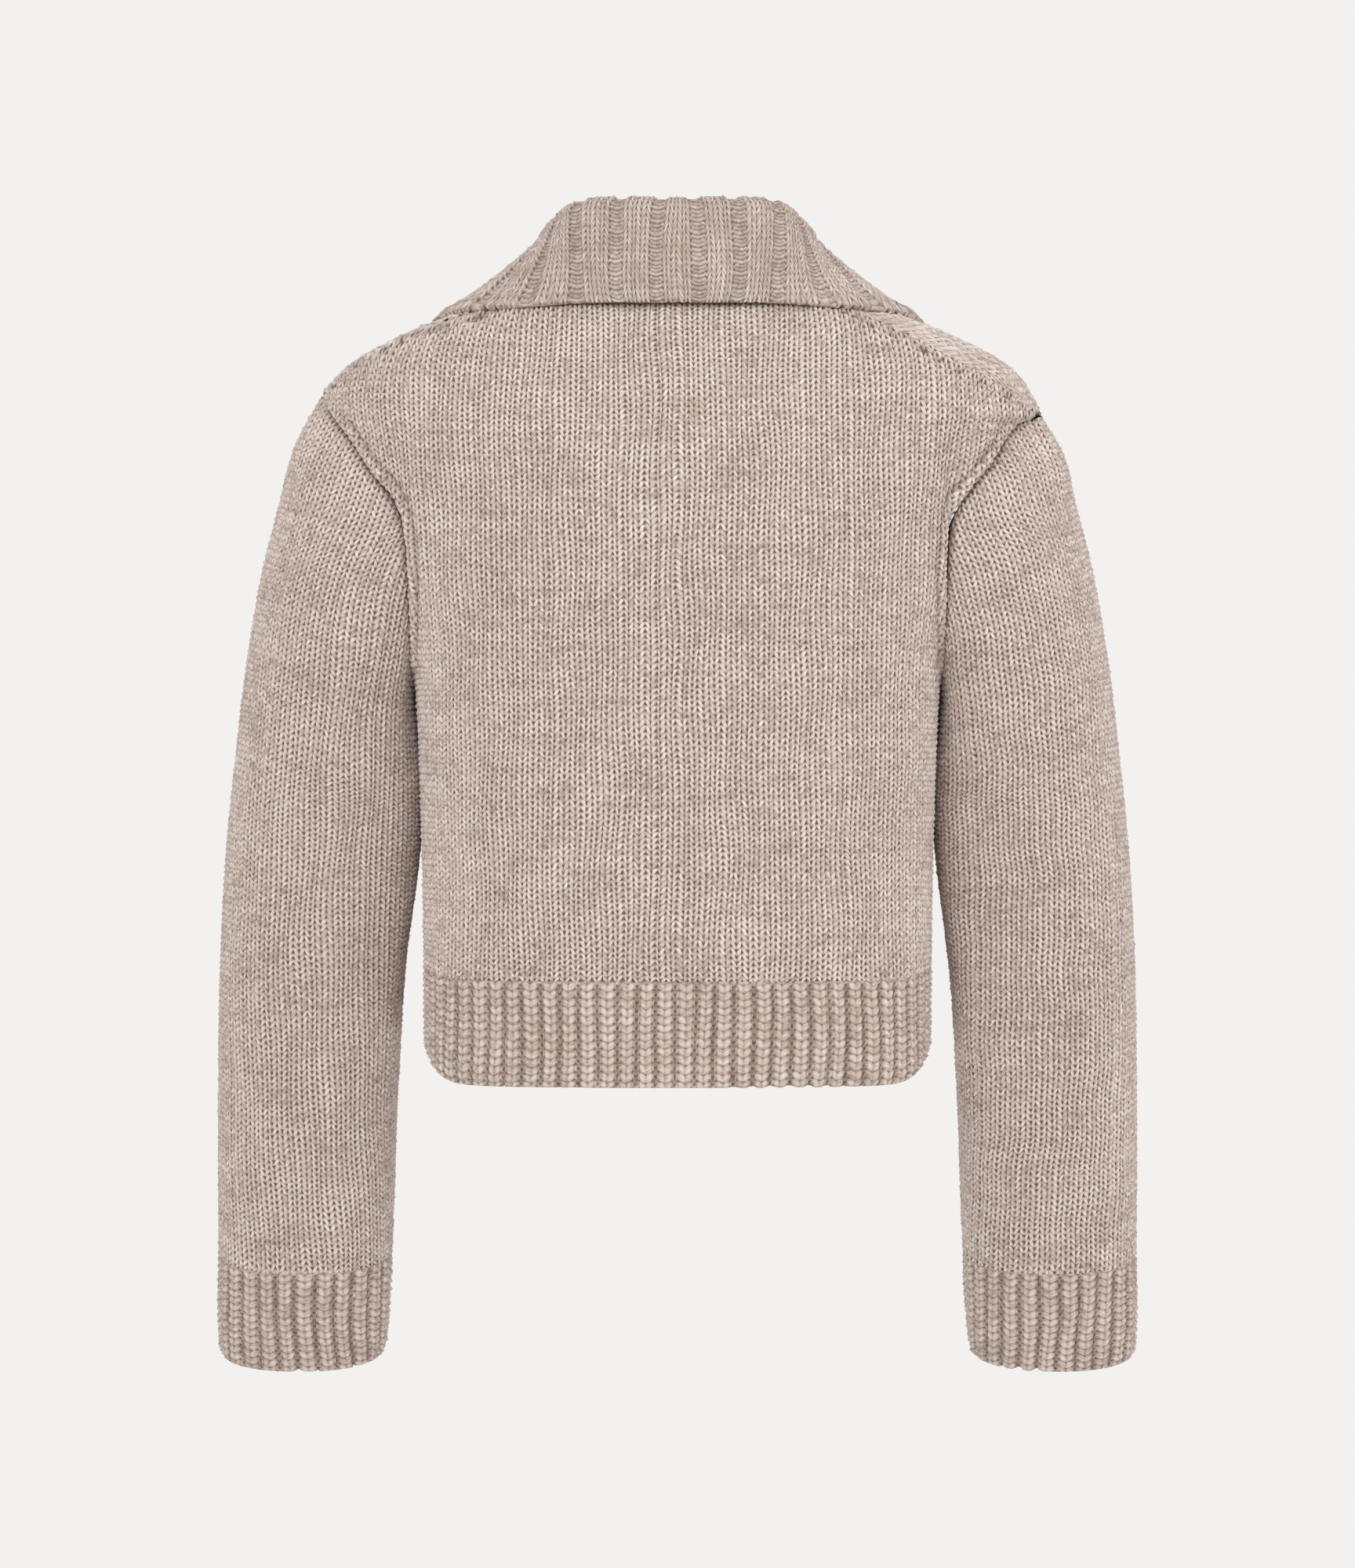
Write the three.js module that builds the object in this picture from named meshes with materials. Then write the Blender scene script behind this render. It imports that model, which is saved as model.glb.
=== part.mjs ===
// A cropped, chunky-knit cardigan with a wide ribbed collar, filled out as if worn.
// Millimetres, +Z up. The back of the garment faces +Y, its front -Y and its left side +X.
// The origin lies between the shoulders, level with the middle of the shoulder line.
// Every piece is a cloth wall: an outer face worked out from the tables below and an inner
// face one wall thickness behind it, joined by walls along every edge.
import * as THREE from 'three';

// ---------------------------------------------------------------- driving dimensions
const WALL = 3.5; // stockinette panels
const RIB = 5; // ribbed collar, hems, cuffs and bands
const SEAM = 0.3; // gap between two pieces that are sewn together
const LIFT = 0.6; // clearance of a piece that lies on another
const ROUNDNESS = 2.6; // exponent of the horizontal sections; 2 is an ellipse
const DEGREE = Math.PI / 180;

const UNDERARM_Z = -212;
// The front bands, in X across the centre front: the buttonhole band of the wearer's right
// front lies over the button band of the left one, which slopes in behind it.
const UPPER_BAND = { from: -17, to: 15, proud: 1 };
const UNDER_BAND = { from: -15, slope: 16, flat: 22.5, to: 26 };
const SLIT = { half: 1.7, rows: 2 }; // a buttonhole: half-width, and length in band rows
const BUTTON = { count: 5, radius: 11, thick: 4, rim: 0.8, shank: 1.2 };

const COLOURS = { panel: 0xb8a69d, rib: 0xb3a098, collar: 0xb9a79e, button: 0x8b7668 };

/** Turns rows of numbers into objects with named columns. */
const table = (names, rows) =>
  rows.map((row) => Object.fromEntries(names.map((name, i) => [name, row[i]])));

// The torso, a row for each level. Above the shoulder tip a level is a ring round the neck
// hole and 'edge' is its half-width at the shoulder. From the tip down to the underarm the
// armhole cuts it: 'edge' is the armhole's X, 'cutBack' and 'cutFront' its depth from midY.
// Below, 'edge' is the half-width. 'turn' says how sharply z leaves zSide round the ring.
// 'seamL' and 'seamR' are the shoulder seams, in degrees from the centre back.
const TORSO = table(
  ['edge', 'cutBack', 'cutFront', 'midY', 'backY', 'frontY', 'zSide', 'zBack', 'zFront', 'turn', 'seamL', 'seamR'],
  [
    [80, 0, 0, 0, 66, -78, 13, 2, -46, 2, 62, 55],
    [104, 0, 0, 0, 74, -84, 4, -8, -55, 2, 64, 56],
    [128, 0, 0, 0, 80, -89, -6, -18, -64, 2, 68, 56],
    [150, 0, 0, 0, 85, -93, -15, -28, -73, 2, 74, 56],
    [170, 0, 0, 0, 89, -96, -24, -38, -82, 2, 74, 56],
    [187, 0, 0, 0, 93, -99, -33, -48, -91, 2, 75, 57],
    [198, 0, 0, 0, 96, -101, -43, -58, -99, 2, 77, 63],
    [205, 0, 0, 0, 98, -103, -54, -68, -107, 2, 79, 74],
    [195, 38, 24, 1, 100, -104, -62, -77, -113, 2, 90, 90],
    [186, 44, 34, 2, 102, -105, -73, -87, -120, 2, 90, 90],
    [174, 50, 44, 4, 104, -106, -92, -102, -130, 2, 90, 90],
    [158, 56, 52, 7, 105, -107, -116, -122, -144, 2, 90, 90],
    [152.5, 54, 50, 10, 106, -107, -140, -144, -158, 2, 90, 90],
    [151, 44, 42, 12, 106, -107, -165, -167, -175, 2, 90, 90],
    [150, 30, 30, 14, 106, -107, -187, -188, -192, 2, 90, 90],
    [149.5, 15, 15, 16, 105.5, -107, -203, -203, -205, 2, 90, 90],
    [149, 0, 0, 17, 105, -107, UNDERARM_Z, -212, -213, 2, 90, 90],
    [147, 0, 0, 18, 105, -106, -250, -250, -250, 2, 90, 90],
    [145.5, 0, 0, 18, 105, -106, -295, -296, -296, 2, 90, 90],
    [144.5, 0, 0, 18, 105, -105, -340, -342, -342, 4, 90, 90],
    [144, 0, 0, 18, 104.5, -105, -376, -382, -380, 8, 90, 90],
    [143.5, 0, 0, 18, 104, -104, -422, -441, -437, 8, 90, 90],
  ],
);
const TIP = 7; // row of the shoulder tip
const UNDERARM = 16; // row of the underarm
const RIB_TOP = 20; // row where the hem rib starts
const HEM = 21; // row of the bottom edge
// The wearer's left shoulder tip sits a little higher and further in than the right one.
const TIP_PLACE = { 1: { edge: 203, z: -50 }, '-1': { edge: 208, z: -62 } };

// One sleeve, a row for each section below the armhole: the outer point and the inner one
// in X and Z, half-depth, centre in Y, forward tilt of the section in degrees, and how far
// its middle bows in towards the body.
const SLEEVE = table(
  ['outX', 'outZ', 'inX', 'inZ', 'depth', 'midY', 'tilt', 'bow'],
  [
    [228, -112, 151.2, -221, 62, -2, 0, 10],
    [238.5, -152, 150.5, -231, 63, -10, 1, 4],
    [247.5, -200, 148.5, -248, 62, -19, 2, 1],
    [254.5, -252, 146.2, -275, 60, -27, 4, 0],
    [261, -312, 151, -320, 57, -33, 6, 0],
    [265, -378, 158.8, -380, 53, -40, 8, 0],
    [267, -448, 163.5, -449, 49, -51, 11, 0],
    [268, -505, 166, -505, 45, -62, 13, 0],
    [268.5, -546, 168, -546, 42, -70, 14, 0],
    [269.5, -576, 169.5, -576, 41, -76, 15, 0],
    [269, -605, 172.5, -605, 39, -83, 15, 0],
  ],
);
const CUFF_TOP = 8; // row where the cuff rib starts
const SLEEVE_ROUNDNESS = 2.3;
const SEAM_EASE = 0.5; // extra room at the armhole, where two walls meet at an angle
const CAP_RISE = 4; // how far the cap of the sleeve arches out between armhole and first row

// Half of the collar from the centre back to its front end, a row for each station: where
// its neck edge, 'neck', lies on the neck seam in degrees from the centre back, the top of
// its fold, and where its outer edge lies on the torso, as a level and an angle, with the
// height of the edge over the cloth below it. 'crown' is how far the fall arches over it.
const COLLAR = table(
  ['neck', 'foldX', 'foldY', 'foldZ', 'level', 'angle', 'over', 'crown'],
  [
    [0, 0, 65, 57.5, 0.75, 0, 4, 9],
    [22, 30, 63.5, 58, 0.85, 20, 3.5, 9],
    [42, 55, 54, 57, 1.2, 40, 2.5, 9],
    [62, 69, 32, 51.5, 1.8, 60, 1.5, 8],
    [90, 73.5, 0, 43, 2.4, 90, 1, 8],
    [115, 67, -34, 17, 3.6, 123, 1.2, 9],
    [142, 45, -60, -14, 5.6, 147, 1.5, 9],
    [173, 13, -81, -41, 7.8, 159, 1.5, 9],
  ],
);
const FOLD_RADIUS = 6.6; // of the face that shows
const STAND_INSET = 4.2; // how far inside the neck edge that face starts
const STAND_STEPS = 3;
const FALL_STEPS = 5;

// ---------------------------------------------------------------- interpolation
const spline = (a, b, c, d, t) =>
  b + 0.5 * t * (c - a + t * (2 * a - 5 * b + 4 * c - d + t * (3 * (b - c) + d - a)));

/** Reads every column of a table at a fractional row, smoothly through the rows. */
function readRow(rows, place) {
  const last = rows.length - 1;
  const i = Math.min(Math.max(Math.floor(place), 0), last - 1);
  const [a, b, c, d] = [i - 1, i, i + 1, i + 2].map((k) => rows[Math.min(Math.max(k, 0), last)]);
  return Object.fromEntries(
    Object.keys(b).map((key) => [key, spline(a[key], b[key], c[key], d[key], place - i)]),
  );
}

const power = (value, exponent) => Math.sign(value) * Math.abs(value) ** exponent;

/** Finds count + 1 parameters that lie evenly along a curve between two of them. */
function evenly(curve, from, to, count) {
  const fine = 96;
  const params = Array.from({ length: fine + 1 }, (_, i) => from + ((to - from) * i) / fine);
  const points = params.map(curve);
  const lengths = [0];
  for (let i = 1; i <= fine; i += 1) lengths.push(lengths[i - 1] + points[i].distanceTo(points[i - 1]));
  const spread = [];
  let k = 0;
  for (let j = 0; j <= count; j += 1) {
    const goal = (lengths[fine] * j) / count;
    while (k < fine - 1 && lengths[k + 1] < goal) k += 1;
    const share = (goal - lengths[k]) / Math.max(lengths[k + 1] - lengths[k], 1e-9);
    spread.push(params[k] + (params[k + 1] - params[k]) * Math.min(share, 1));
  }
  return spread;
}

// ---------------------------------------------------------------- the torso's surface
/** Half-width of the full ring that passes through an armhole point. */
const ringWidth = (edge, cut, depth) => edge / (1 - (cut / depth) ** ROUNDNESS) ** (1 / ROUNDNESS);

/** The torso's rows as rings, with the armhole written as an angle on each side. */
function ringsOf(side) {
  return TORSO.map((row, i) => {
    const tip = TIP_PLACE[side];
    const edge = i === TIP ? tip.edge : row.edge;
    const zSide = i === TIP ? tip.z : Math.min(row.zSide, i > TIP ? tip.z - 3 * (i - TIP) : row.zSide);
    const [back, front] = [row.backY - row.midY, row.midY - row.frontY];
    const shoulder = side > 0 ? row.seamL : row.seamR;
    const cutAngle = (cut, depth) => Math.acos((cut / depth) ** (ROUNDNESS / 2)) / DEGREE;
    return {
      widthBack: ringWidth(edge, row.cutBack, back),
      widthFront: ringWidth(edge, row.cutFront, front),
      back,
      front,
      midY: row.midY,
      zSide,
      zBack: row.zBack,
      zFront: row.zFront,
      turn: row.turn,
      boundBack: i > TIP ? cutAngle(row.cutBack, back) : shoulder,
      boundFront: 180 - cutAngle(row.cutFront, front),
    };
  });
}
const RINGS = { 1: ringsOf(1), '-1': ringsOf(-1) };

/** A point of the torso: its level, and its angle from the centre back, positive to the left. */
function torsoPoint(level, angle) {
  const side = angle < 0 ? -1 : 1;
  const ring = readRow(RINGS[side], level);
  const phi = Math.abs(angle) * DEGREE;
  const isBack = phi <= Math.PI / 2;
  const width = isBack ? ring.widthBack : ring.widthFront;
  const x = side * width * power(Math.sin(phi), 2 / ROUNDNESS);
  const y = ring.midY + (isBack ? ring.back : ring.front) * power(Math.cos(phi), 2 / ROUNDNESS);
  const rise = 1 - Math.abs(Math.sin(phi)) ** ring.turn;
  const z = ring.zSide + ((isBack ? ring.zBack : ring.zFront) - ring.zSide) * rise;
  return new THREE.Vector3(x, y, z);
}

/** The torso's outward normal. */
function torsoNormal(level, angle) {
  const [above, below] = [Math.max(level - 0.05, 0), Math.min(level + 0.05, HEM)];
  const down = torsoPoint(below, angle).sub(torsoPoint(above, angle));
  const round = torsoPoint(level, angle + 1).sub(torsoPoint(level, angle - 1));
  return round.cross(down).normalize();
}

/** A point lifted off the torso along its outward normal. */
const torsoOffset = (level, angle, height) =>
  torsoPoint(level, angle).addScaledVector(torsoNormal(level, angle), height);

/** The angle at which a level of the front passes a given X. */
function frontAngle(level, x) {
  const side = x < 0 ? -1 : 1;
  const sine = (Math.abs(x) / readRow(RINGS[side], level).widthFront) ** (ROUNDNESS / 2);
  return side * (180 - Math.asin(sine) / DEGREE);
}

// ---------------------------------------------------------------- shells
/**
 * Makes a closed cloth wall from a grid of outer points, whose rows run down the piece and
 * may differ in length. A cell that isHole names stays open. The wall's thickness is laid
 * off against the mesh's own normals, or against those in 'facing' where pieces are joined.
 */
function shell(grid, options) {
  const { thickness, flip = false, closed = false, isHole = () => false, facing } = options;
  const points = [];
  const index = grid.map((row) => row.map((point) => points.push(point.clone()) - 1));
  const quads = [];
  for (let i = 0; i + 1 < grid.length; i += 1) {
    const count = Math.min(grid[i].length, grid[i + 1].length);
    for (let j = 0; j < (closed ? count : count - 1); j += 1) {
      if (isHole(i, j)) continue;
      const k = (j + 1) % count;
      const quad = [index[i][j], index[i + 1][j], index[i + 1][k], index[i][k]];
      quads.push(flip ? quad.reverse() : quad);
    }
  }
  const normals = points.map(() => new THREE.Vector3());
  for (const [a, b, c, d] of quads) {
    const across = points[c].clone().sub(points[a]);
    const normal = across.cross(points[d].clone().sub(points[b]));
    for (const corner of [a, b, c, d]) normals[corner].add(normal);
  }
  normals.forEach((normal) => normal.normalize());
  facing?.flat().forEach((normal, i) => normals[i].copy(normal));

  const rims = new Map();
  for (const quad of quads) {
    quad.forEach((from, n) => {
      const to = quad[(n + 1) % 4];
      if (!rims.delete(`${to},${from}`)) rims.set(`${from},${to}`, [from, to]);
    });
  }
  const inward = new Map();
  for (const [from, to] of rims.values()) {
    const along = points[to].clone().sub(points[from]).normalize();
    const inwards = normals[from].clone().add(normals[to]).cross(along).normalize();
    for (const corner of [from, to]) {
      inward.set(corner, (inward.get(corner) ?? new THREE.Vector3()).add(inwards));
    }
  }
  for (const [corner, way] of inward) {
    const trimmed = (SEAM * 0.6) / Math.max(way.length() / 2, 0.5);
    points[corner].addScaledVector(way.normalize(), trimmed);
  }

  const count = points.length;
  const inner = points.map((point, i) => point.clone().addScaledVector(normals[i], -thickness));
  const faces = [];
  const addQuad = (a, b, c, d) => faces.push(a, b, c, a, c, d);
  for (const [a, b, c, d] of quads) {
    addQuad(a, b, c, d);
    addQuad(d + count, c + count, b + count, a + count);
  }
  for (const [from, to] of rims.values()) addQuad(to, from, from + count, to + count);
  const geometry = new THREE.BufferGeometry();
  const flat = [...points, ...inner].flatMap((point) => point.toArray());
  geometry.setAttribute('position', new THREE.Float32BufferAttribute(flat, 3));
  geometry.setIndex(faces);
  geometry.computeVertexNormals();
  return geometry;
}

const group = new THREE.Group();

/** Adds one named piece of knitting in its own material. */
function addPiece(name, geometry, colour) {
  const material = new THREE.MeshStandardMaterial({ color: colour, roughness: 0.95, metalness: 0 });
  const mesh = new THREE.Mesh(geometry, material);
  mesh.name = name;
  group.add(mesh);
  return mesh;
}

const range = (from, to, step = 1) => {
  const count = Math.round((to - from) / step);
  return Array.from({ length: count + 1 }, (_, i) => from + i * step);
};

// ---------------------------------------------------------------- back and fronts
const BACK_COLUMNS = 20;
const FRONT_COLUMNS = 11;
const OVER_SHOULDER_COLUMNS = 3;
const LEVELS = range(0, RIB_TOP);

/** Angles along a level of the back panel, from the left seam to the right one. */
function backAngles(level) {
  const [left, right] = [1, -1].map((side) => side * readRow(RINGS[side], level).boundBack);
  return evenly((angle) => torsoPoint(level, angle), left, right, BACK_COLUMNS);
}

/** Angles along a level of a front, from the band to the side or, up there, over the shoulder. */
function frontAngles(side, level) {
  const ring = readRow(RINGS[side], level);
  const curve = (angle) => torsoPoint(level, angle);
  const start = frontAngle(level, side > 0 ? UNDER_BAND.to : UPPER_BAND.from);
  const end = side * (level <= TIP ? 90 : ring.boundFront);
  const angles = evenly(curve, start, end, FRONT_COLUMNS);
  if (level > TIP) return angles;
  return [...angles, ...evenly(curve, end, side * ring.boundBack, OVER_SHOULDER_COLUMNS).slice(1)];
}

/** A wall on the torso, from the angles that each of its levels runs through. */
function torsoShell(levels, anglesAt, options) {
  const angles = levels.map(anglesAt);
  const each = (make) => levels.map((level, i) => angles[i].map((angle) => make(level, angle)));
  return shell(each(torsoPoint), { ...options, facing: each(torsoNormal) });
}

function addBody() {
  const hemLevels = range(RIB_TOP, HEM, 0.5);
  addPiece('back', torsoShell(LEVELS, backAngles, { thickness: WALL }), COLOURS.panel);
  addPiece('hem_back', torsoShell(hemLevels, backAngles, { thickness: RIB }), COLOURS.rib);
  for (const [side, name] of [[1, 'left'], [-1, 'right']]) {
    const angles = (level) => frontAngles(side, level);
    const flip = side < 0;
    const panel = torsoShell(LEVELS, angles, { thickness: WALL, flip });
    addPiece(`front_${name}`, panel, COLOURS.panel);
    addPiece(`hem_front_${name}`, torsoShell(hemLevels, angles, { thickness: RIB, flip }), COLOURS.rib);
  }
}

// ---------------------------------------------------------------- bands and buttons
const BAND_ROWS = 40;
const BAND_TOP = 0.1; // level just under the neck seam
const centreFront = (level) => torsoPoint(level, 180);
const BAND_LEVELS = evenly(centreFront, BAND_TOP, HEM, BAND_ROWS);
// Band rows in which a button's centre lies, from the neck down.
const BUTTON_ROWS = range(0, BUTTON.count - 1).map((i) => 2 + Math.round((i * (BAND_ROWS - 5)) / (BUTTON.count - 1)));

/** A front band, a column for each X and its height over the front's own face. */
function bandShell(columns, isHole) {
  const grid = BAND_LEVELS.map((level) =>
    columns.map(([x, height]) => torsoOffset(level, frontAngle(level, x), height)));
  return shell(grid, { thickness: RIB, isHole, flip: true });
}

/** A button with a raised rim and a shank that passes the buttonhole. */
function buttonGeometry() {
  const { radius, thick, rim, shank } = BUTTON;
  const foot = -(RIB + LIFT) + SEAM;
  const profile = [
    [0, foot], [shank, foot], [shank, SEAM], [radius - 1, SEAM], [radius, SEAM + 1],
    [radius, SEAM + thick - 1], [radius - 1, SEAM + thick], [radius - 2.5, SEAM + thick],
    [radius - 3.5, SEAM + thick - rim], [0, SEAM + thick - rim],
  ];
  return new THREE.LatheGeometry(profile.map(([r, h]) => new THREE.Vector2(r, h)), 14);
}

function addBands() {
  const { from, to, proud } = UPPER_BAND;
  const under = proud - RIB - LIFT;
  const middle = (from + to) / 2;
  const slit = [middle - SLIT.half, middle + SLIT.half];
  const upper = [from, middle - 8, ...slit, middle + 8, to].map((x) => [x, proud]);
  const isSlit = (i, j) => j === 2 && BUTTON_ROWS.some((row) => Math.abs(i + 0.5 - row) <= SLIT.rows / 2);
  addPiece('band_buttonhole', bandShell(upper.reverse(), (i, j) => isSlit(i, j)), COLOURS.rib);
  const lower = [
    [UNDER_BAND.to, 0], [UNDER_BAND.flat, 0], [UNDER_BAND.slope, under],
    [0, under], [UNDER_BAND.from, under],
  ];
  addPiece('band_button', bandShell(lower), COLOURS.rib);

  BUTTON_ROWS.forEach((row, i) => {
    const level = BAND_LEVELS[row];
    const angle = frontAngle(level, middle);
    const button = addPiece(`button_${i + 1}`, buttonGeometry(), COLOURS.button);
    button.position.copy(torsoOffset(level, angle, proud));
    button.quaternion.setFromUnitVectors(new THREE.Vector3(0, 1, 0), torsoNormal(level, angle));
  });
}

// ---------------------------------------------------------------- sleeves
/** The armhole as a closed loop from the shoulder tip over the back to the underarm and up. */
function armholeLoop(side) {
  const ring = (level) => readRow(RINGS[side], level);
  const tip = (angle) => torsoPoint(TIP, side * angle);
  const top = evenly(tip, 90, ring(TIP).boundBack, OVER_SHOULDER_COLUMNS).map(tip);
  const levels = range(TIP + 1, UNDERARM);
  const back = levels.map((level) => torsoPoint(level, side * ring(level).boundBack));
  const front = levels.slice(0, -1).map((level) => torsoPoint(level, side * ring(level).boundFront));
  return { back: [...top, ...back], front: front.reverse() };
}

/** Share of the way along a chain of points that each one has reached. */
function shares(points) {
  const lengths = [0];
  for (let i = 1; i < points.length; i += 1) {
    lengths.push(lengths[i - 1] + points[i].distanceTo(points[i - 1]));
  }
  return lengths.map((length) => length / lengths.at(-1));
}

/** A point of a sleeve section: angle 0 is the outer side, 90 the back and 180 the inner side. */
function sleevePoint(side, place, angle) {
  const row = readRow(SLEEVE, place);
  const centre = new THREE.Vector3((row.outX + row.inX) / 2, row.midY, (row.outZ + row.inZ) / 2);
  const across = new THREE.Vector3(row.outX - row.inX, 0, row.outZ - row.inZ);
  const half = across.length() / 2;
  across.normalize();
  const inwards = new THREE.Vector3(-across.z, 0, across.x).multiplyScalar(-1);
  const depth = new THREE.Vector3(0, Math.cos(row.tilt * DEGREE), -Math.sin(row.tilt * DEGREE));
  const [sine, cosine] = [Math.sin(angle * DEGREE), Math.cos(angle * DEGREE)];
  const point = centre
    .addScaledVector(across, half * power(cosine, 2 / SLEEVE_ROUNDNESS))
    .addScaledVector(depth, row.depth * power(sine, 2 / SLEEVE_ROUNDNESS))
    .addScaledVector(inwards, -row.bow * sine ** 2);
  point.x *= side;
  return point;
}

/** The section halfway between the armhole and the first row, arched out over the shoulder. */
function capSection(side, ring, angles) {
  const out = new THREE.Vector3(side * 0.9, 0, 0.43);
  return ring.map((start, i) => {
    const arch = CAP_RISE * Math.max(Math.cos(angles[i] * DEGREE), 0);
    return start.clone().lerp(sleevePoint(side, 0, angles[i]), 0.5).addScaledVector(out, arch);
  });
}

function addSleeve(side, name) {
  const loop = armholeLoop(side);
  const ring = [...loop.back, ...loop.front];
  const backTurns = shares(loop.back).map((share) => 180 * share);
  const frontTurns = shares([loop.back.at(-1), ...loop.front, loop.back[0]])
    .map((share) => 180 + 180 * share);
  const angles = [...backTurns, ...frontTurns.slice(1, -1)];
  const section = (place) => angles.map((angle) => sleevePoint(side, place, angle));
  const options = { closed: true, flip: side < 0 };
  const cap = capSection(side, ring, angles);
  const armhole = ring.map((point, i) => point.clone().lerp(cap[i], SEAM_EASE / point.distanceTo(cap[i])));
  const rows = [armhole, cap, ...range(0, CUFF_TOP).map(section)];
  const cuffRows = range(CUFF_TOP, SLEEVE.length - 1).map(section);
  addPiece(`sleeve_${name}`, shell(rows, { ...options, thickness: WALL }), COLOURS.panel);
  addPiece(`cuff_${name}`, shell(cuffRows, { ...options, thickness: RIB }), COLOURS.rib);
}

// ---------------------------------------------------------------- collar
/** The face that shows along one line across the collar: up the neck, over the fold, down. */
function collarLine(place) {
  const side = place < 0 ? -1 : 1;
  const row = readRow(COLLAR, Math.abs(place));
  const mirror = (point) => point.setX(point.x * side);
  const seat = mirror(torsoPoint(0, row.neck));
  const edge = mirror(torsoOffset(row.level, row.angle, row.over + RIB));
  const fold = new THREE.Vector3(row.foldX * side, row.foldY, row.foldZ);
  const out = seat.clone().setZ(0).normalize();
  const neck = seat.clone().addScaledVector(out, -STAND_INSET).setZ(seat.z + LIFT);
  const rise = fold.clone().sub(neck);
  rise.addScaledVector(out, -rise.dot(out)).normalize();
  const centre = fold.clone().addScaledVector(rise, -FOLD_RADIUS);
  const around = (turn) => centre.clone()
    .addScaledVector(out, -FOLD_RADIUS * Math.cos(turn * DEGREE))
    .addScaledVector(rise, FOLD_RADIUS * Math.sin(turn * DEGREE));
  const stand = range(0, STAND_STEPS).map((i) => neck.clone().lerp(around(0), i / STAND_STEPS));
  const bend = [45, 90, 135].map(around);
  const crown = mirror(torsoOffset(row.level * 0.45, (row.neck + row.angle) / 2, RIB + row.crown));
  const fall = new THREE.QuadraticBezierCurve3(around(180), crown, edge).getPoints(FALL_STEPS);
  return [...stand, ...bend, ...fall];
}

function addCollar() {
  const end = COLLAR.length - 1;
  const lines = range(-end, end, 0.5).map(collarLine);
  addPiece('collar', shell(lines, { thickness: RIB, flip: true }), COLOURS.collar);
}

addBody();
addBands();
addSleeve(1, 'left');
addSleeve(-1, 'right');
addCollar();

export default group;
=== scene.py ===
"""A cropped, chunky-knit cardigan with a wide ribbed collar, filled out as if worn.

Each knitted piece is a thin closed shell on the form of its solid. Its outer face is a net
of stitches: every leg of yarn is a ridge of the mesh, and the material adds the plies.
Sizes are in millimetres and are turned to metres as a mesh is written.
"""

from __future__ import annotations

import logging
import math
from collections.abc import Callable, Sequence
from dataclasses import dataclass
from enum import Enum
from functools import partial

import bmesh
import bpy
import numpy as np
from mathutils import Matrix, Vector, kdtree

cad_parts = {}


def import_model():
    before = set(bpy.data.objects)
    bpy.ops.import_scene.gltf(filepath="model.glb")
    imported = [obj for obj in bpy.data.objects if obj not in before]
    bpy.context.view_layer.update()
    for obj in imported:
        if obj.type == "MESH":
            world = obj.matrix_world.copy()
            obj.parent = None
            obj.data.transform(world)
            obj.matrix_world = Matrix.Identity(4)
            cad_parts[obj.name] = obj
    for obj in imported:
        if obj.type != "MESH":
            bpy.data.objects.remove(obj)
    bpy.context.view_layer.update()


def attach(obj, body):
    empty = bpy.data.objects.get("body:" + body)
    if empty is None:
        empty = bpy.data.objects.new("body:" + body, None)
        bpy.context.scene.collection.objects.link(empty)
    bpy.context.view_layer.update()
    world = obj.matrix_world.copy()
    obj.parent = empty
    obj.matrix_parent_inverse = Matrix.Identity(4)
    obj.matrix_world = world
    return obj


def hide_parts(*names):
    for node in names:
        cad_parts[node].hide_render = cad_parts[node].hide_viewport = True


LOG = logging.getLogger("cardigan")
Array = np.ndarray
Side = int  # 1 is the wearer's left, -1 the right
Sides = Callable[[Array], tuple[Array, Array]]  # a piece's left and right edges at each level
Socket = bpy.types.NodeSocket
MM = 0.001

# ------------------------------------------------------------------ sizes shared with the solids
WALL = 3.5  # stockinette
RIB_WALL = 5.0  # ribbed hems, cuffs and bands
ROUNDNESS = 2.6  # of the torso's horizontal sections
SLEEVE_ROUNDNESS = 2.3
TIP, UNDERARM, RIB_TOP, HEM = 7, 16, 20, 21  # rows of TORSO
CUFF_TOP, CUFF_END = 8, 10  # rows of SLEEVE
TIP_EDGE = {1: 203.0, -1: 208.0}
TIP_Z = {1: -50.0, -1: -62.0}
CAP_RISE = 4.0
FOLD_RADIUS = 6.6
STAND_INSET = 4.2
LIFT = 0.6
BAND_TOP = 0.1
UPPER_BAND = (-17.0, 15.0)
UNDER_BAND = (-15.0, 26.0)
COLLAR_WALL = 3.4  # not shared: its solid is as thick as the ribs, and throws a deeper shadow

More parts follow.
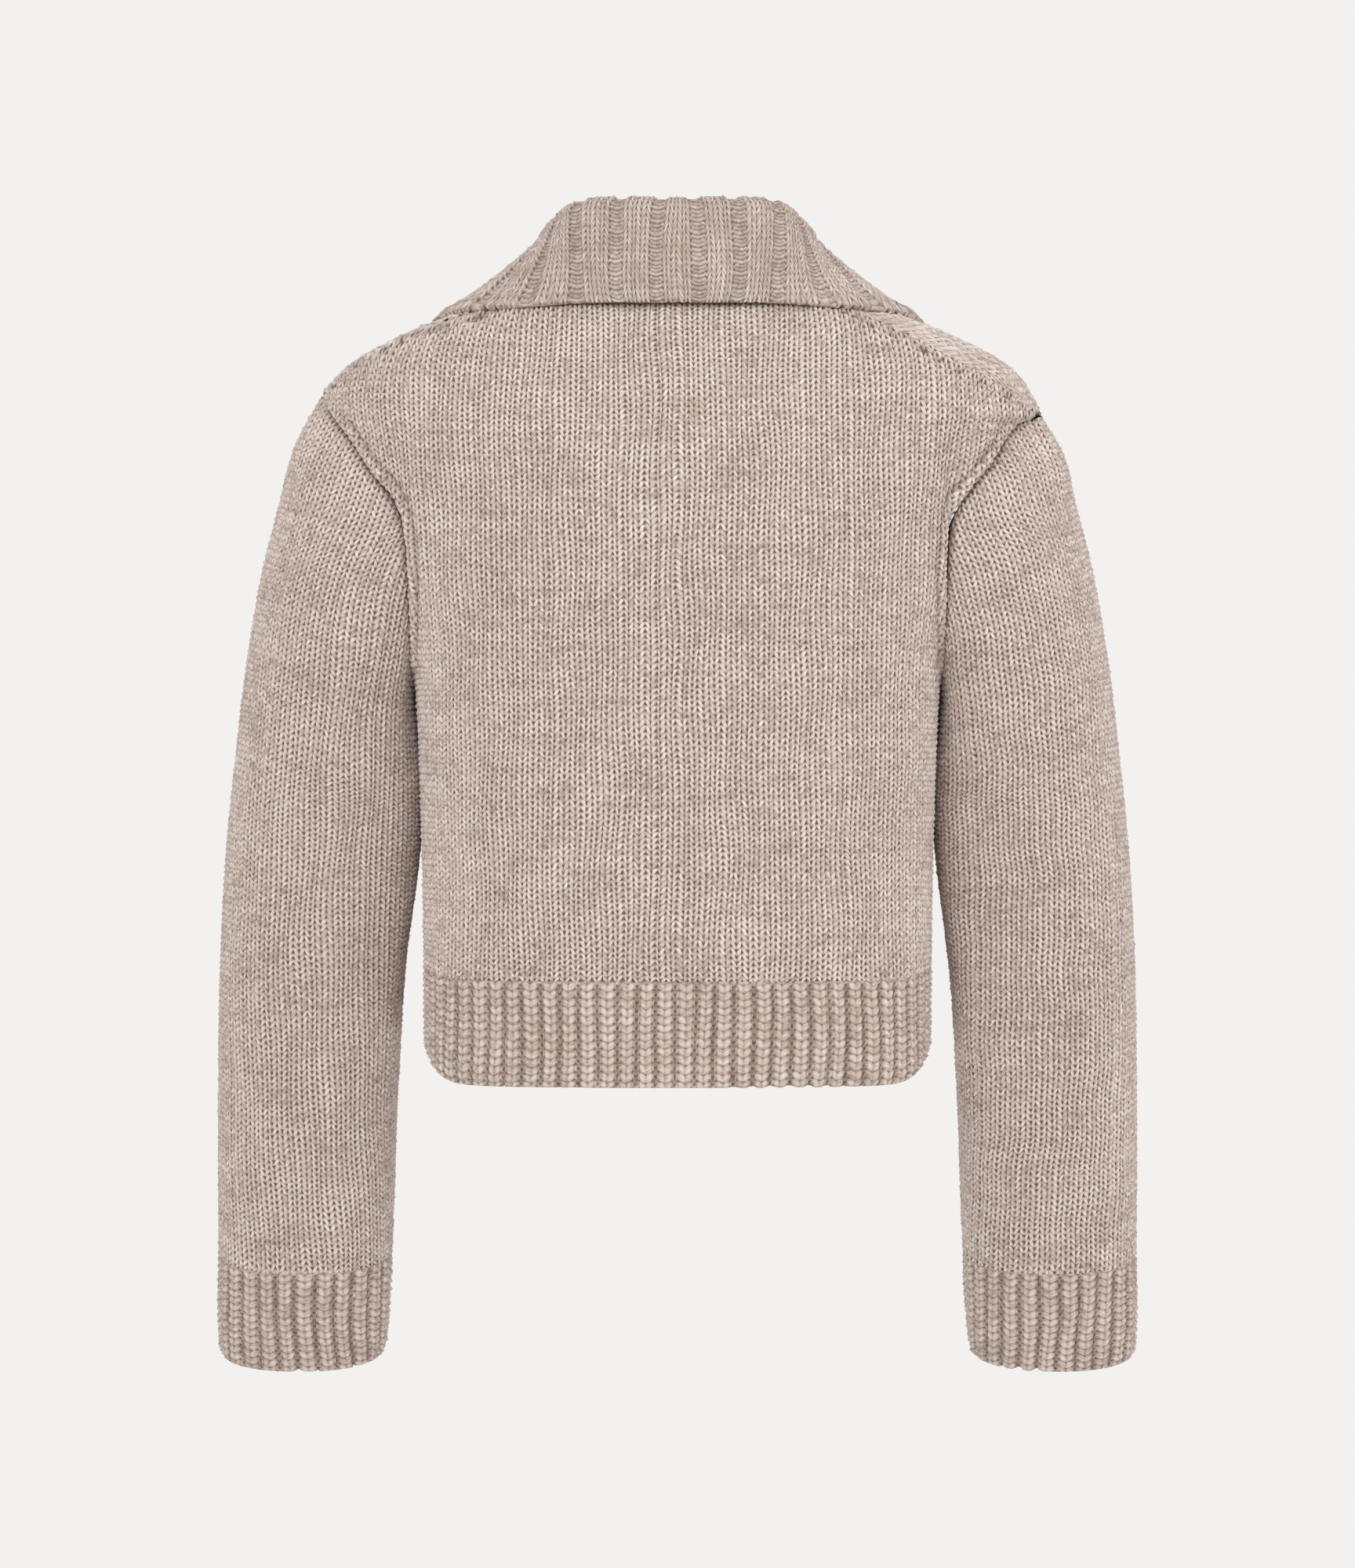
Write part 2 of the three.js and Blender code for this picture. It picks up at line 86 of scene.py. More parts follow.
TORSO_NAMES = (
    "edge cut_back cut_front mid_y back_y front_y z_side z_back z_front turn seam_l seam_r"
)
TORSO_ROWS = (
    (80, 0, 0, 0, 66, -78, 13, 2, -46, 2, 62, 55),
    (104, 0, 0, 0, 74, -84, 4, -8, -55, 2, 64, 56),
    (128, 0, 0, 0, 80, -89, -6, -18, -64, 2, 68, 56),
    (150, 0, 0, 0, 85, -93, -15, -28, -73, 2, 74, 56),
    (170, 0, 0, 0, 89, -96, -24, -38, -82, 2, 74, 56),
    (187, 0, 0, 0, 93, -99, -33, -48, -91, 2, 75, 57),
    (198, 0, 0, 0, 96, -101, -43, -58, -99, 2, 77, 63),
    (205, 0, 0, 0, 98, -103, -54, -68, -107, 2, 79, 74),
    (195, 38, 24, 1, 100, -104, -62, -77, -113, 2, 90, 90),
    (186, 44, 34, 2, 102, -105, -73, -87, -120, 2, 90, 90),
    (174, 50, 44, 4, 104, -106, -92, -102, -130, 2, 90, 90),
    (158, 56, 52, 7, 105, -107, -116, -122, -144, 2, 90, 90),
    (152.5, 54, 50, 10, 106, -107, -140, -144, -158, 2, 90, 90),
    (151, 44, 42, 12, 106, -107, -165, -167, -175, 2, 90, 90),
    (150, 30, 30, 14, 106, -107, -187, -188, -192, 2, 90, 90),
    (149.5, 15, 15, 16, 105.5, -107, -203, -203, -205, 2, 90, 90),
    (149, 0, 0, 17, 105, -107, -212, -212, -213, 2, 90, 90),
    (147, 0, 0, 18, 105, -106, -250, -250, -250, 2, 90, 90),
    (145.5, 0, 0, 18, 105, -106, -295, -296, -296, 2, 90, 90),
    (144.5, 0, 0, 18, 105, -105, -340, -342, -342, 4, 90, 90),
    (144, 0, 0, 18, 104.5, -105, -376, -382, -380, 12, 90, 90),
    (143.5, 0, 0, 18, 104, -104, -422, -441, -437, 16, 90, 90),
)
SLEEVE_NAMES = "out_x out_z in_x in_z depth mid_y tilt bow"
SLEEVE_ROWS = (
    (228, -112, 151.2, -221, 62, -2, 0, 10),
    (238.5, -152, 150.5, -231, 63, -10, 1, 4),
    (247.5, -200, 148.5, -248, 62, -19, 2, 1),
    (254.5, -252, 146.2, -275, 60, -27, 4, 0),
    (261, -312, 151, -320, 57, -33, 6, 0),
    (265, -378, 158.8, -380, 53, -40, 8, 0),
    (267, -448, 163.5, -449, 49, -51, 11, 0),
    (268, -505, 166, -505, 45, -62, 13, 0),
    (268.5, -546, 168, -546, 42, -70, 14, 0),
    (269.5, -576, 169.5, -576, 41, -76, 15, 0),
    (269, -605, 172.5, -605, 39, -83, 15, 0),
)
COLLAR_NAMES = "neck fold_x fold_y fold_z level angle over crown"
COLLAR_ROWS = (
    (0, 0, 65, 57.5, 0.75, 0, 1.0, 9),
    (22, 30, 63.5, 58, 0.8, 13, 1.0, 9),
    (42, 54.5, 54, 57, 0.98, 29, 0.9, 9),
    (62, 67, 32, 50, 1.45, 49, 0.7, 8.5),
    (90, 73.5, 0, 42, 2.25, 82, 0.6, 9),
    (115, 67, -34, 17, 3.55, 121, 1.2, 9),
    (142, 45, -60, -14, 5.6, 147, 1.5, 9),
    (173, 13, -81, -41, 7.8, 159, 1.5, 9),
)


def power(value: Array, exponent: float) -> Array:
    """Raises a number's size to a power and keeps its sign."""
    return np.sign(value) * np.abs(value) ** exponent


def unit(vectors: Array) -> Array:
    """Scales each vector to a length of one."""
    return vectors / np.maximum(np.linalg.norm(vectors, axis=-1, keepdims=True), 1e-12)


def paired(first: Array | float, second: Array | float) -> Sequence[Array]:
    """Gives two sets of numbers one common shape."""
    return np.broadcast_arrays(np.asarray(first, float), np.asarray(second, float))


def lengths_along(line: Array) -> Array:
    """The length along a line of points up to each of them."""
    steps = np.linalg.norm(np.diff(line, axis=0), axis=1)
    return np.concatenate([[0], np.cumsum(steps)])


def cubic(a: Array, b: Array, c: Array, d: Array, t: Array) -> Array:
    """Runs smoothly from the second of four values to the third as t goes from 0 to 1."""
    return b + 0.5 * t * (c - a + t * (2 * a - 5 * b + 4 * c - d + t * (3 * (b - c) + d - a)))


def along_spline(rows: Array, place: Array) -> Array:
    """Reads rows of numbers smoothly at fractional places, which keep their own shape."""
    last = len(rows) - 1
    i = np.clip(np.floor(place).astype(int), 0, last - 1)
    t = (place - i).reshape(place.shape + (1,) * (rows.ndim - 1))
    return cubic(*(rows[np.clip(i + k, 0, last)] for k in (-1, 0, 1, 2)), t)


def between(grid: Array, row: Array, column: Array) -> Array:
    """Reads a grid between its samples."""
    row = np.clip(row, 0, grid.shape[0] - 1.000001)
    column = np.clip(column, 0, grid.shape[1] - 1.000001)
    i, j = row.astype(int), column.astype(int)
    s, t = row - i, column - j
    upper = grid[i, j] * (1 - t) + grid[i, j + 1] * t
    lower = grid[i + 1, j] * (1 - t) + grid[i + 1, j + 1] * t
    return upper * (1 - s) + lower * s


class Table:
    """Rows of sizes with named columns, read smoothly between the rows."""

    def __init__(self, names: str, rows: Sequence[Sequence[float]]) -> None:
        """Keeps the rows under their columns' names."""
        self.names = names.split()
        self.rows = np.array(rows, float)

    def read(self, place: Array) -> dict[str, Array]:
        """Gives every column at fractional rows."""
        values = along_spline(self.rows, place)
        return {name: values[..., i] for i, name in enumerate(self.names)}


class Torso:
    """The body of the cardigan as rings that run down from the neck to the hem."""

    TIP_FALL = 3.0  # least fall of the side from ring to ring below the shoulder tip
    PROBE, SWING = 0.05, 1.0  # levels and degrees either side that measure a normal

    def __init__(self) -> None:
        """Works out the rings of each side from the table of sizes."""
        self.rings = {side: self._rings(side) for side in (1, -1)}

    def _rings(self, side: Side) -> Table:
        """Turns the rows into rings, with the armhole written as an angle."""
        row = dict(zip(TORSO_NAMES.split(), np.array(TORSO_ROWS, float).T))
        i = np.arange(len(TORSO_ROWS))
        edge = np.where(i == TIP, TIP_EDGE[side], row["edge"])
        below = np.minimum(row["z_side"], TIP_Z[side] - self.TIP_FALL * (i - TIP))
        z_side = np.where(i == TIP, TIP_Z[side], np.where(i > TIP, below, row["z_side"]))
        back, front = row["back_y"] - row["mid_y"], row["mid_y"] - row["front_y"]

        def width(cut: Array, depth: Array) -> Array:
            return edge / (1 - (cut / depth) ** ROUNDNESS) ** (1 / ROUNDNESS)

        def cut_angle(cut: Array, depth: Array) -> Array:
            return np.degrees(np.arccos((cut / depth) ** (ROUNDNESS / 2)))

        seam = row["seam_l"] if side > 0 else row["seam_r"]
        columns = {
            "width_back": width(row["cut_back"], back),
            "width_front": width(row["cut_front"], front),
            "back": back,
            "front": front,
            "mid_y": row["mid_y"],
            "z_side": z_side,
            "z_back": row["z_back"],
            "z_front": row["z_front"],
            "turn": row["turn"],
            "bound_back": np.where(i > TIP, cut_angle(row["cut_back"], back), seam),
            "bound_front": 180 - cut_angle(row["cut_front"], front),
        }
        return Table(" ".join(columns), np.stack(list(columns.values()), axis=1))

    def point(self, level: Array, angle: Array) -> Array:
        """A point for each level and each angle from the centre back, positive to the left."""
        level, angle = paired(level, angle)
        left, right = self.rings[1].read(level), self.rings[-1].read(level)
        ring = {name: np.where(angle < 0, right[name], left[name]) for name in left}
        side = np.where(angle < 0, -1.0, 1.0)
        phi = np.radians(np.abs(angle))
        is_back = phi <= math.pi / 2
        sine, cosine = np.sin(phi), np.cos(phi)
        width = np.where(is_back, ring["width_back"], ring["width_front"])
        depth = np.where(is_back, ring["back"], ring["front"])
        rise = 1 - np.abs(sine) ** ring["turn"]
        middle = np.where(is_back, ring["z_back"], ring["z_front"])
        return np.stack(
            [
                side * width * power(sine, 2 / ROUNDNESS),
                ring["mid_y"] + depth * power(cosine, 2 / ROUNDNESS),
                ring["z_side"] + (middle - ring["z_side"]) * rise,
            ],
            axis=-1,
        )

    def normal(self, level: Array, angle: Array) -> Array:
        """The outward normal at each level and angle."""
        above, below = np.maximum(level - self.PROBE, 0), np.minimum(level + self.PROBE, HEM)
        down = self.point(below, angle) - self.point(above, angle)
        across = self.point(level, angle + self.SWING) - self.point(level, angle - self.SWING)
        return unit(np.cross(across, down))

    def offset(self, level: Array, angle: Array, height: Array | float) -> Array:
        """A point lifted off the torso along its normal."""
        lift = np.asarray(height, float)[..., None]
        return self.point(level, angle) + self.normal(level, angle) * lift

    def front_angle(self, level: Array, x: Array | float) -> Array:
        """The angle at which a level of the front passes a given X."""
        x = np.asarray(x, float)
        widths = [self.rings[side].read(level)["width_front"] for side in (1, -1)]
        sine = (np.abs(x) / np.where(x < 0, widths[1], widths[0])) ** (ROUNDNESS / 2)
        return np.where(x < 0, -1, 1) * (180 - np.degrees(np.arcsin(sine)))

    def bound(self, level: Array, side: Side, name: str) -> Array:
        """The angle of a panel's edge at each level."""
        return self.rings[side].read(level)[name]


class Courses:
    """Rows of stitches that lie level over the body's rings, evenly spaced in height."""

    SAMPLES = 201  # of the heights between the neck and the underarm

    def __init__(self, torso: Torso, centre: float) -> None:
        """Works out at which ring each row lies at each angle.

        Args:
            torso: The body.
            centre: The angle at which rows are counted as rings are.
        """
        self.torso = torso
        self.rings = np.linspace(0, UNDERARM, self.SAMPLES)
        angles = np.linspace(-180, 180, 361)
        height = torso.point(self.rings[:, None], angles[None, :])[..., 2]
        self.fallen = (height[0] - height) / (height[0] - height[-1])
        self.fallen = np.maximum.accumulate(self.fallen, axis=0)
        self.middle = self.fallen[:, int(centre) + 180]
        steps = np.linspace(0, 1, self.SAMPLES)
        columns = [np.interp(steps, way, self.rings) for way in self.fallen.T]
        self.levels = np.stack(columns, axis=1)

    def level(self, row: Array, angle: Array) -> Array:
        """The ring that a row crosses at an angle."""
        share = np.interp(row, self.rings, self.middle)
        level = between(self.levels, share * (self.SAMPLES - 1), angle + 180)
        return np.where(row < UNDERARM, level, row)

    def point(self, row: Array, angle: Array) -> Array:
        """A point for each row and each angle."""
        row, angle = paired(row, angle)
        return self.torso.point(self.level(row, angle), angle)

    def row(self, level: Array, angle: Array) -> Array:
        """The row that passes a ring at an angle."""
        place = level / UNDERARM * (self.SAMPLES - 1)
        share = np.maximum.accumulate(between(self.fallen, place, angle + 180))
        return np.interp(share, self.middle, self.rings)

    def end(self, row: Array, bound: Callable[[Array], Array]) -> Array:
        """The angle at which each row meets an edge that is given for each ring."""
        angles = bound(self.rings)
        met = np.interp(row, np.maximum.accumulate(self.row(self.rings, angles)), angles)
        return np.where(row < UNDERARM, met, bound(row))


class Sleeve:
    """One sleeve with its cuff, as sections that run down from the armhole."""

    LOOP_TURNS = 361  # samples round the armhole
    SLICED = 5  # the level down to which rows of stitches run level and end at the armhole
    SLICES = 251  # samples of that stretch
    ARCH = (0.9, 0.0, 0.43)  # way in which the cap arches out
    FINE, OVER = 91, 12  # samples of the armhole's edges, and of the shoulder over it

    def __init__(self, torso: Torso, side: Side) -> None:
        """Works out the armhole and the section that arches out from it."""
        self.side = side
        self.table = Table(SLEEVE_NAMES, SLEEVE_ROWS)
        self.turns = np.linspace(0, 360, self.LOOP_TURNS)
        loop = self._armhole(torso)
        first = self.section(np.zeros(self.LOOP_TURNS), self.turns)
        arch = CAP_RISE * np.maximum(np.cos(np.radians(self.turns)), 0)
        cap = (loop + first) / 2 + arch[:, None] * np.array(self.ARCH) * (side, 1, 1)
        whole = np.arange(len(SLEEVE_ROWS))
        sections = [self.section(np.full(self.LOOP_TURNS, float(i)), self.turns) for i in whole]
        self.rows = np.stack([loop, cap, *sections])
        self._slice()

    def _slice(self) -> None:
        """Works out the level at which each row of stitches crosses each turn."""
        fine = np.linspace(0, self.SLICED, self.SLICES)
        net = self.point(fine[:, None], self.turns[None, :])
        low = net[-1]
        middle = (self.LOOP_TURNS - 1) // 2
        up = np.cross(low[0] - low[middle], low[middle // 2] - low[middle + middle // 2])
        up = unit(up * np.sign(up[2]))
        heights = (net - low) @ up
        heights = np.maximum.accumulate(heights[::-1], axis=0)
        heights += np.arange(self.SLICES)[:, None] * 1e-6
        self.rim = heights[-1]
        self.top = self.rim.max()
        slices = np.linspace(self.top, 0, self.SLICES)
        self.levels = np.stack(
            [np.interp(slices, column, fine[::-1]) for column in heights.T], axis=1
        )

    def knit_point(self, row: Array, turn: Array) -> Array:
        """A point for each row, counted as levels are, and each turn; rows above lie level."""
        row, turn = paired(row, turn)
        down = np.clip(row / self.SLICED, 0, 1) * (self.SLICES - 1)
        place = np.mod(turn, 360) / 360 * (self.LOOP_TURNS - 1)
        level = between(self.levels, down, place)
        return self.point(np.where(row < self.SLICED, level, row), turn)

    def ends(self, row: Array) -> tuple[Array, Array]:
        """The turns at which each row ends, at the armhole or at the seam under the arm."""
        middle = (self.LOOP_TURNS - 1) // 2
        height = self.top * (1 - np.clip(row / self.SLICED, 0, 1))
        back, front = self.rim[middle::-1], self.rim[middle:]
        behind = np.interp(height, np.maximum.accumulate(back), self.turns[middle::-1])
        ahead = np.interp(height, np.maximum.accumulate(front), self.turns[middle:] - 360)
        under = row >= self.SLICED
        return np.where(under, -180.0, ahead), np.where(under, 180.0, behind)

    def _armhole(self, torso: Torso) -> Array:
        """The armhole as a loop over the back from the shoulder tip to the underarm and up."""
        side = self.side
        fine = np.linspace(TIP, UNDERARM, self.FINE)
        over = np.linspace(90, torso.bound(fine[:1], side, "bound_back")[0], self.OVER)
        top = torso.point(TIP, side * over)
        back = torso.point(fine, side * torso.bound(fine, side, "bound_back"))
        front = torso.point(fine, side * torso.bound(fine, side, "bound_front"))[::-1]

        def spread(chain: Array, turns: Array) -> Array:
            length = lengths_along(chain)
            share = length / length[-1]
            return np.stack([np.interp(turns, share, chain[:, k]) for k in range(3)], axis=1)

        behind = self.turns <= 180
        return np.concatenate(
            [
                spread(np.concatenate([top, back[1:]]), self.turns[behind] / 180),
                spread(front, self.turns[~behind] / 180 - 1),
            ]
        )

    def section(self, place: Array, angle: Array) -> Array:
        """Points of the sections: angle 0 is the outer side, 90 the back, 180 the inner side."""
        row = self.table.read(place)
        zero = np.zeros_like(place)
        centre = np.stack(
            [(row["out_x"] + row["in_x"]) / 2, row["mid_y"], (row["out_z"] + row["in_z"]) / 2], -1
        )
        across = np.stack([row["out_x"] - row["in_x"], zero, row["out_z"] - row["in_z"]], -1)
        half = np.linalg.norm(across, axis=-1) / 2
        across = unit(across)
        inwards = np.stack([across[..., 2], zero, -across[..., 0]], -1)
        tilt = np.radians(row["tilt"])
        depth = np.stack([zero, np.cos(tilt), -np.sin(tilt)], -1)
        sine, cosine = np.sin(np.radians(angle)), np.cos(np.radians(angle))
        exponent = 2 / SLEEVE_ROUNDNESS
        points = (
            centre
            + across * (half * power(cosine, exponent))[..., None]
            + depth * (row["depth"] * power(sine, exponent))[..., None]
            - inwards * (row["bow"] * sine**2)[..., None]
        )
        points[..., 0] *= self.side
        return points

    def point(self, level: Array, turn: Array) -> Array:
        """A point for each level, counted from the armhole, and each turn."""
        level, turn = paired(level, turn)
        place = np.mod(turn, 360) / 360 * (self.LOOP_TURNS - 1)
        low = np.clip(np.floor(place).astype(int), 0, self.LOOP_TURNS - 2)
        share = (place - low)[..., None]
        last = len(self.rows) - 1
        i = np.clip(np.floor(level).astype(int), 0, last - 1)
        t = (level - i)[..., None]
        four = (
            self.rows[np.clip(i + k, 0, last), low] * (1 - share)
            + self.rows[np.clip(i + k, 0, last), low + 1] * share
            for k in (-1, 0, 1, 2)
        )
        return cubic(*four, t)


class Collar:
    """The collar's face that shows, as lines across it from the neck to its outer edge."""

    STAND_SHARE, BEND_SHARE = 0.3, 0.2  # of a line's rows in the stand and in the fold
    CROWN_LEVEL = 0.45  # share of the way down to its edge at which the fall stands highest

    def __init__(self, torso: Torso) -> None:
        """Keeps the torso that the collar lies on."""
        self.torso = torso
        self.table = Table(COLLAR_NAMES, COLLAR_ROWS)

    def point(self, level: Array, place: Array) -> Array:
        """A point for each share of a line, 0 to 1, and each station, -7 to 7."""
        level, place = paired(level, place)
        side = np.where(place < 0, -1.0, 1.0)
        row = self.table.read(np.abs(place))
        mirror = np.stack([side, np.ones_like(side), np.ones_like(side)], -1)
        seat = self.torso.point(np.zeros_like(place), row["neck"]) * mirror
        edge = self.torso.offset(row["level"], row["angle"], row["over"] + COLLAR_WALL) * mirror
        fold = np.stack([row["fold_x"] * side, row["fold_y"], row["fold_z"]], -1)
        out = unit(seat * (1, 1, 0))
        neck = seat - out * STAND_INSET
        neck[..., 2] = seat[..., 2] + LIFT
        up = fold - neck
        rise = unit(up - out * (up * out).sum(-1, keepdims=True))
        centre = fold - rise * FOLD_RADIUS
        angle, height = (row["neck"] + row["angle"]) / 2, COLLAR_WALL + row["crown"]
        crown = self.torso.offset(row["level"] * self.CROWN_LEVEL, angle, height) * mirror
        stand_end, bend_end = self.STAND_SHARE, self.STAND_SHARE + self.BEND_SHARE
        turn = np.clip((level - stand_end) / self.BEND_SHARE, 0, 1)[..., None] * math.pi
        bend = centre + FOLD_RADIUS * (rise * np.sin(turn) - out * np.cos(turn))
        upright = np.clip(level / stand_end, 0, 1)[..., None]
        stand = neck + (centre - out * FOLD_RADIUS - neck) * upright
        t = np.clip((level - bend_end) / (1 - bend_end), 0, 1)[..., None]
        start = centre + out * FOLD_RADIUS
        fall = start * (1 - t) ** 2 + 2 * crown * t * (1 - t) + edge * t**2
        part = level[..., None]
        return np.where(part < stand_end, stand, np.where(part < bend_end, bend, fall))


class Chart:
    """Measures a curved face in millimetres: across along its courses, down along its wales."""

    LEVELS, TURNS = 161, 361  # samples of the face
    PROBES = 400  # steps of the whole face, one of which measures a normal

    def __init__(
        self,
        point: Callable[[Array, Array], Array],
        levels: tuple[float, float],
        turns: tuple[float, float],
        start: float,
        outward: float,
        fan: float | None = None,
    ) -> None:
        """Measures the face.

        Args:
            point: The face's point at a level and a turn.
            levels: The levels of its top and bottom.
            turns: The turns between which the net may reach, from left to right.
            start: The turn of the wale from which the width is measured.
            outward: 1 or -1, the sign that makes the normals point outwards.
            fan: Where wales spread like a fan, the level at which they have their true width.
        """
        self.point, self.outward = point, outward
        self.levels = np.linspace(*levels, self.LEVELS)
        self.turns = np.linspace(*turns, self.TURNS)
        net = point(self.levels[:, None], self.turns[None, :])
        steps = np.linalg.norm(np.diff(net, axis=1), axis=-1)
        self.across = np.pad(np.cumsum(steps, axis=1), ((0, 0), (1, 0)))
        place = (start - turns[0]) / (turns[1] - turns[0]) * (self.TURNS - 1)
        every = np.arange(self.TURNS)
        self.across -= np.array([[np.interp(place, every, row)] for row in self.across])
        if fan is not None:
            self.across[:] = self.across[int(round(self._row(fan)))]
        self.down = lengths_along(point(self.levels, np.full(self.LEVELS, start)))
        self.widths = np.linspace(self.across.min(), self.across.max(), self.TURNS)
        self.inverse = np.stack([np.interp(self.widths, row, self.turns) for row in self.across])

    def _row(self, level: Array | float) -> Array:
        """The row of the samples that a level falls on, with its fraction."""
        first, last = self.levels[0], self.levels[-1]
        return (level - first) / (last - first) * (self.LEVELS - 1)

    def level(self, down: Array) -> Array:
        """The level that lies a given length down the face."""
        return np.interp(down, self.down, self.levels)

    def reach(self, level: Array, turn: Array) -> Array:
        """How far across the face a turn lies at a level."""
        first, last = self.turns[0], self.turns[-1]
        column = (turn - first) / (last - first) * (self.TURNS - 1)
        return between(self.across, self._row(level), column)

    def turn(self, level: Array, across: Array) -> Array:
        """The turn that lies a given length across the face at a level."""
        first, last = self.widths[0], self.widths[-1]
        column = (across - first) / (last - first) * (self.TURNS - 1)
        return between(self.inverse, self._row(level), column)

    def place(self, across: Array, down: Array) -> tuple[Array, Array]:
        """Points and outward normals of the face at lengths across and down it."""
        level = self.level(down)
        turn = self.turn(level, across)
        step = (self.levels[-1] - self.levels[0]) / self.PROBES
        swing = (self.turns[-1] - self.turns[0]) / self.PROBES
        above = np.clip(level - step, self.levels[0], self.levels[-1])
        below = np.clip(level + step, self.levels[0], self.levels[-1])
        falling = self.point(below, turn) - self.point(above, turn)
        crossing = self.point(level, turn + swing) - self.point(level, turn - swing)
        return self.point(level, turn), unit(np.cross(crossing, falling)) * self.outward


class Edge(Enum):
    """The edges of a knitted piece along which a line can run, as its net is laid."""

    LEFT = 0
    RIGHT = 1
    BOTTOM = 2


@dataclass(frozen=True)
class Welt:
    """A raised or sunk line along one edge, such as a seam, a bound-off edge or a roll.

    Attributes:
        edge: The edge that it follows.
        inset: Distance of its middle from that edge.
        width: How wide it is, to where it has almost died away.
        height: How far it stands proud, or lies deep if negative.
        chain: Pitch of the stitches along it, or 0 for a plain one.
        span: The part of the edge that it covers, in millimetres along it.
        dark: How much painted shade it gets where it lies deepest, 0 to 1.
    """

    edge: Edge
    inset: float
    width: float
    height: float
    chain: float = 0.0
    span: tuple[float, float] = (-1e4, 1e4)
    dark: float = 0.0


@dataclass(frozen=True)
class Fold:
    """A soft trough or ridge that the cloth forms along a line in space."""

    line: Array
    width: float
    height: float

    REACH = 3.0  # widths beyond which it does nothing
    TAPER = 1.2  # larger for ends that die away sooner

    def lift(self, points: Array) -> Array:
        """How far the fold moves each point along its normal."""
        line, so_far = self.line, lengths_along(self.line)
        low = line.min(0) - self.REACH * self.width
        high = line.max(0) + self.REACH * self.width
        near = np.all((points > low) & (points < high), axis=1)
        cloth = points[near]
        best = np.full(len(cloth), np.inf)
        share = np.zeros(len(cloth))
        for i, length in enumerate(np.diff(so_far)):
            way = (line[i + 1] - line[i]) / length
            along = np.clip((cloth - line[i]) @ way, 0, length)
            away = np.linalg.norm(cloth - line[i] - along[:, None] * way, axis=1)
            closer = away < best
            best[closer] = away[closer]
            share[closer] = (so_far[i] + along[closer]) / so_far[-1]
        taper = np.sin(np.pi * np.clip(share, 0.0, 1.0)) ** self.TAPER
        result = np.zeros(len(points))
        result[near] = self.height * taper * np.exp(-((best / self.width) ** 2))
        return result


def creases(
    point: Callable[[Array, Array], Array],
    sizes: Sequence[tuple[tuple[tuple[float, float], ...], float, float]],
) -> tuple[Fold, ...]:
    """Lays soft folds on a face, each from its levels and turns, its width and its height."""
    folds = []
    for places, width, height in sizes:
        rows = np.array(places, float)
        fine = np.linspace(0, len(rows) - 1, 4 * len(rows))
        level, turn = along_spline(rows, fine).T
        folds.append(Fold(point(level, turn), width, height))
    return tuple(folds)


# Soft folds of the body: levels and angles down each, its width and its height.
BODY_FOLDS = (
    (((7.6, 49), (9.5, 53), (11, 62), (12.6, 68)), 9, -2.2),
    (((7.0, -45), (9, -48), (10, -51.5), (11.3, -60), (13, -67)), 6, -3.8),
    (((7.4, -58), (8.8, -60), (10.2, -66)), 11, 1.6),
    (((0.6, 74), (2.5, 74), (4.5, 75), (6.8, 79)), 15, 2.8),
    (((0.6, -74), (2.4, -75), (4.4, -78), (6.6, -82)), 14, 2.2),
    (((15.5, 58), (18, 50), (20.5, 46)), 26, -1.0),
    (((15.8, -49), (18.4, -44), (20.6, -41)), 30, -0.9),
    (((1.5, 20), (5, 30), (9, 38)), 30, -0.9),
    (((2.2, -14), (6, -26), (10, -35)), 34, -1.0),
    (((9, 122), (11.5, 127), (14.5, 125)), 12, -2.4),
    (((8.7, -119), (11, -125), (15, -124)), 13, -2.1),
    (((15.5, 118), (17.5, 132), (19.6, 140)), 18, -1.8),
    (((16, -114), (18, -128), (19.8, -137)), 20, -1.5),
)
# Soft folds of each sleeve, by its side.
SLEEVE_FOLDS = {
    1: (
        (((2.0, 150), (5, 149), (6.4, 149), (8.2, 152)), 17, 5.4),
        (((3.2, 66), (4.2, 104), (5.2, 128)), 18, -0.8),
        (((6.4, 172), (7.1, 150), (7.6, 124)), 16, -1.0),
        (((7.6, 34), (8.1, 62), (8.5, 96)), 20, -0.8),
        (((9.1, 60), (9.5, 86), (9.7, 120)), 15, -0.8),
        (((3.6, 236), (4.8, 222), (6.2, 214)), 15, -2.2),
        (((7.0, 196), (7.5, 222), (7.9, 250)), 13, -2.0),
        (((8.8, 214), (9.3, 240), (9.6, 268)), 12, -1.6),
    ),
    -1: (
        (((1.9, 149), (4.9, 148), (6.6, 148), (8.4, 151)), 18, 5.6),
        (((3.0, 58), (4.0, 96), (5.3, 124)), 19, -0.9),
        (((6.7, 170), (7.3, 146), (7.9, 118)), 17, -0.9),
        (((7.3, 24), (7.7, 52), (8.3, 84)), 21, -0.7),
        (((9.0, 72), (9.4, 100), (9.8, 130)), 16, -0.7),
        (((3.8, 230), (5.0, 218), (6.5, 211)), 14, -2.0),
        (((7.2, 200), (7.8, 226), (8.1, 256)), 14, -1.8),
        (((8.9, 208), (9.2, 236), (9.6, 262)), 11, -1.5),
    ),
}


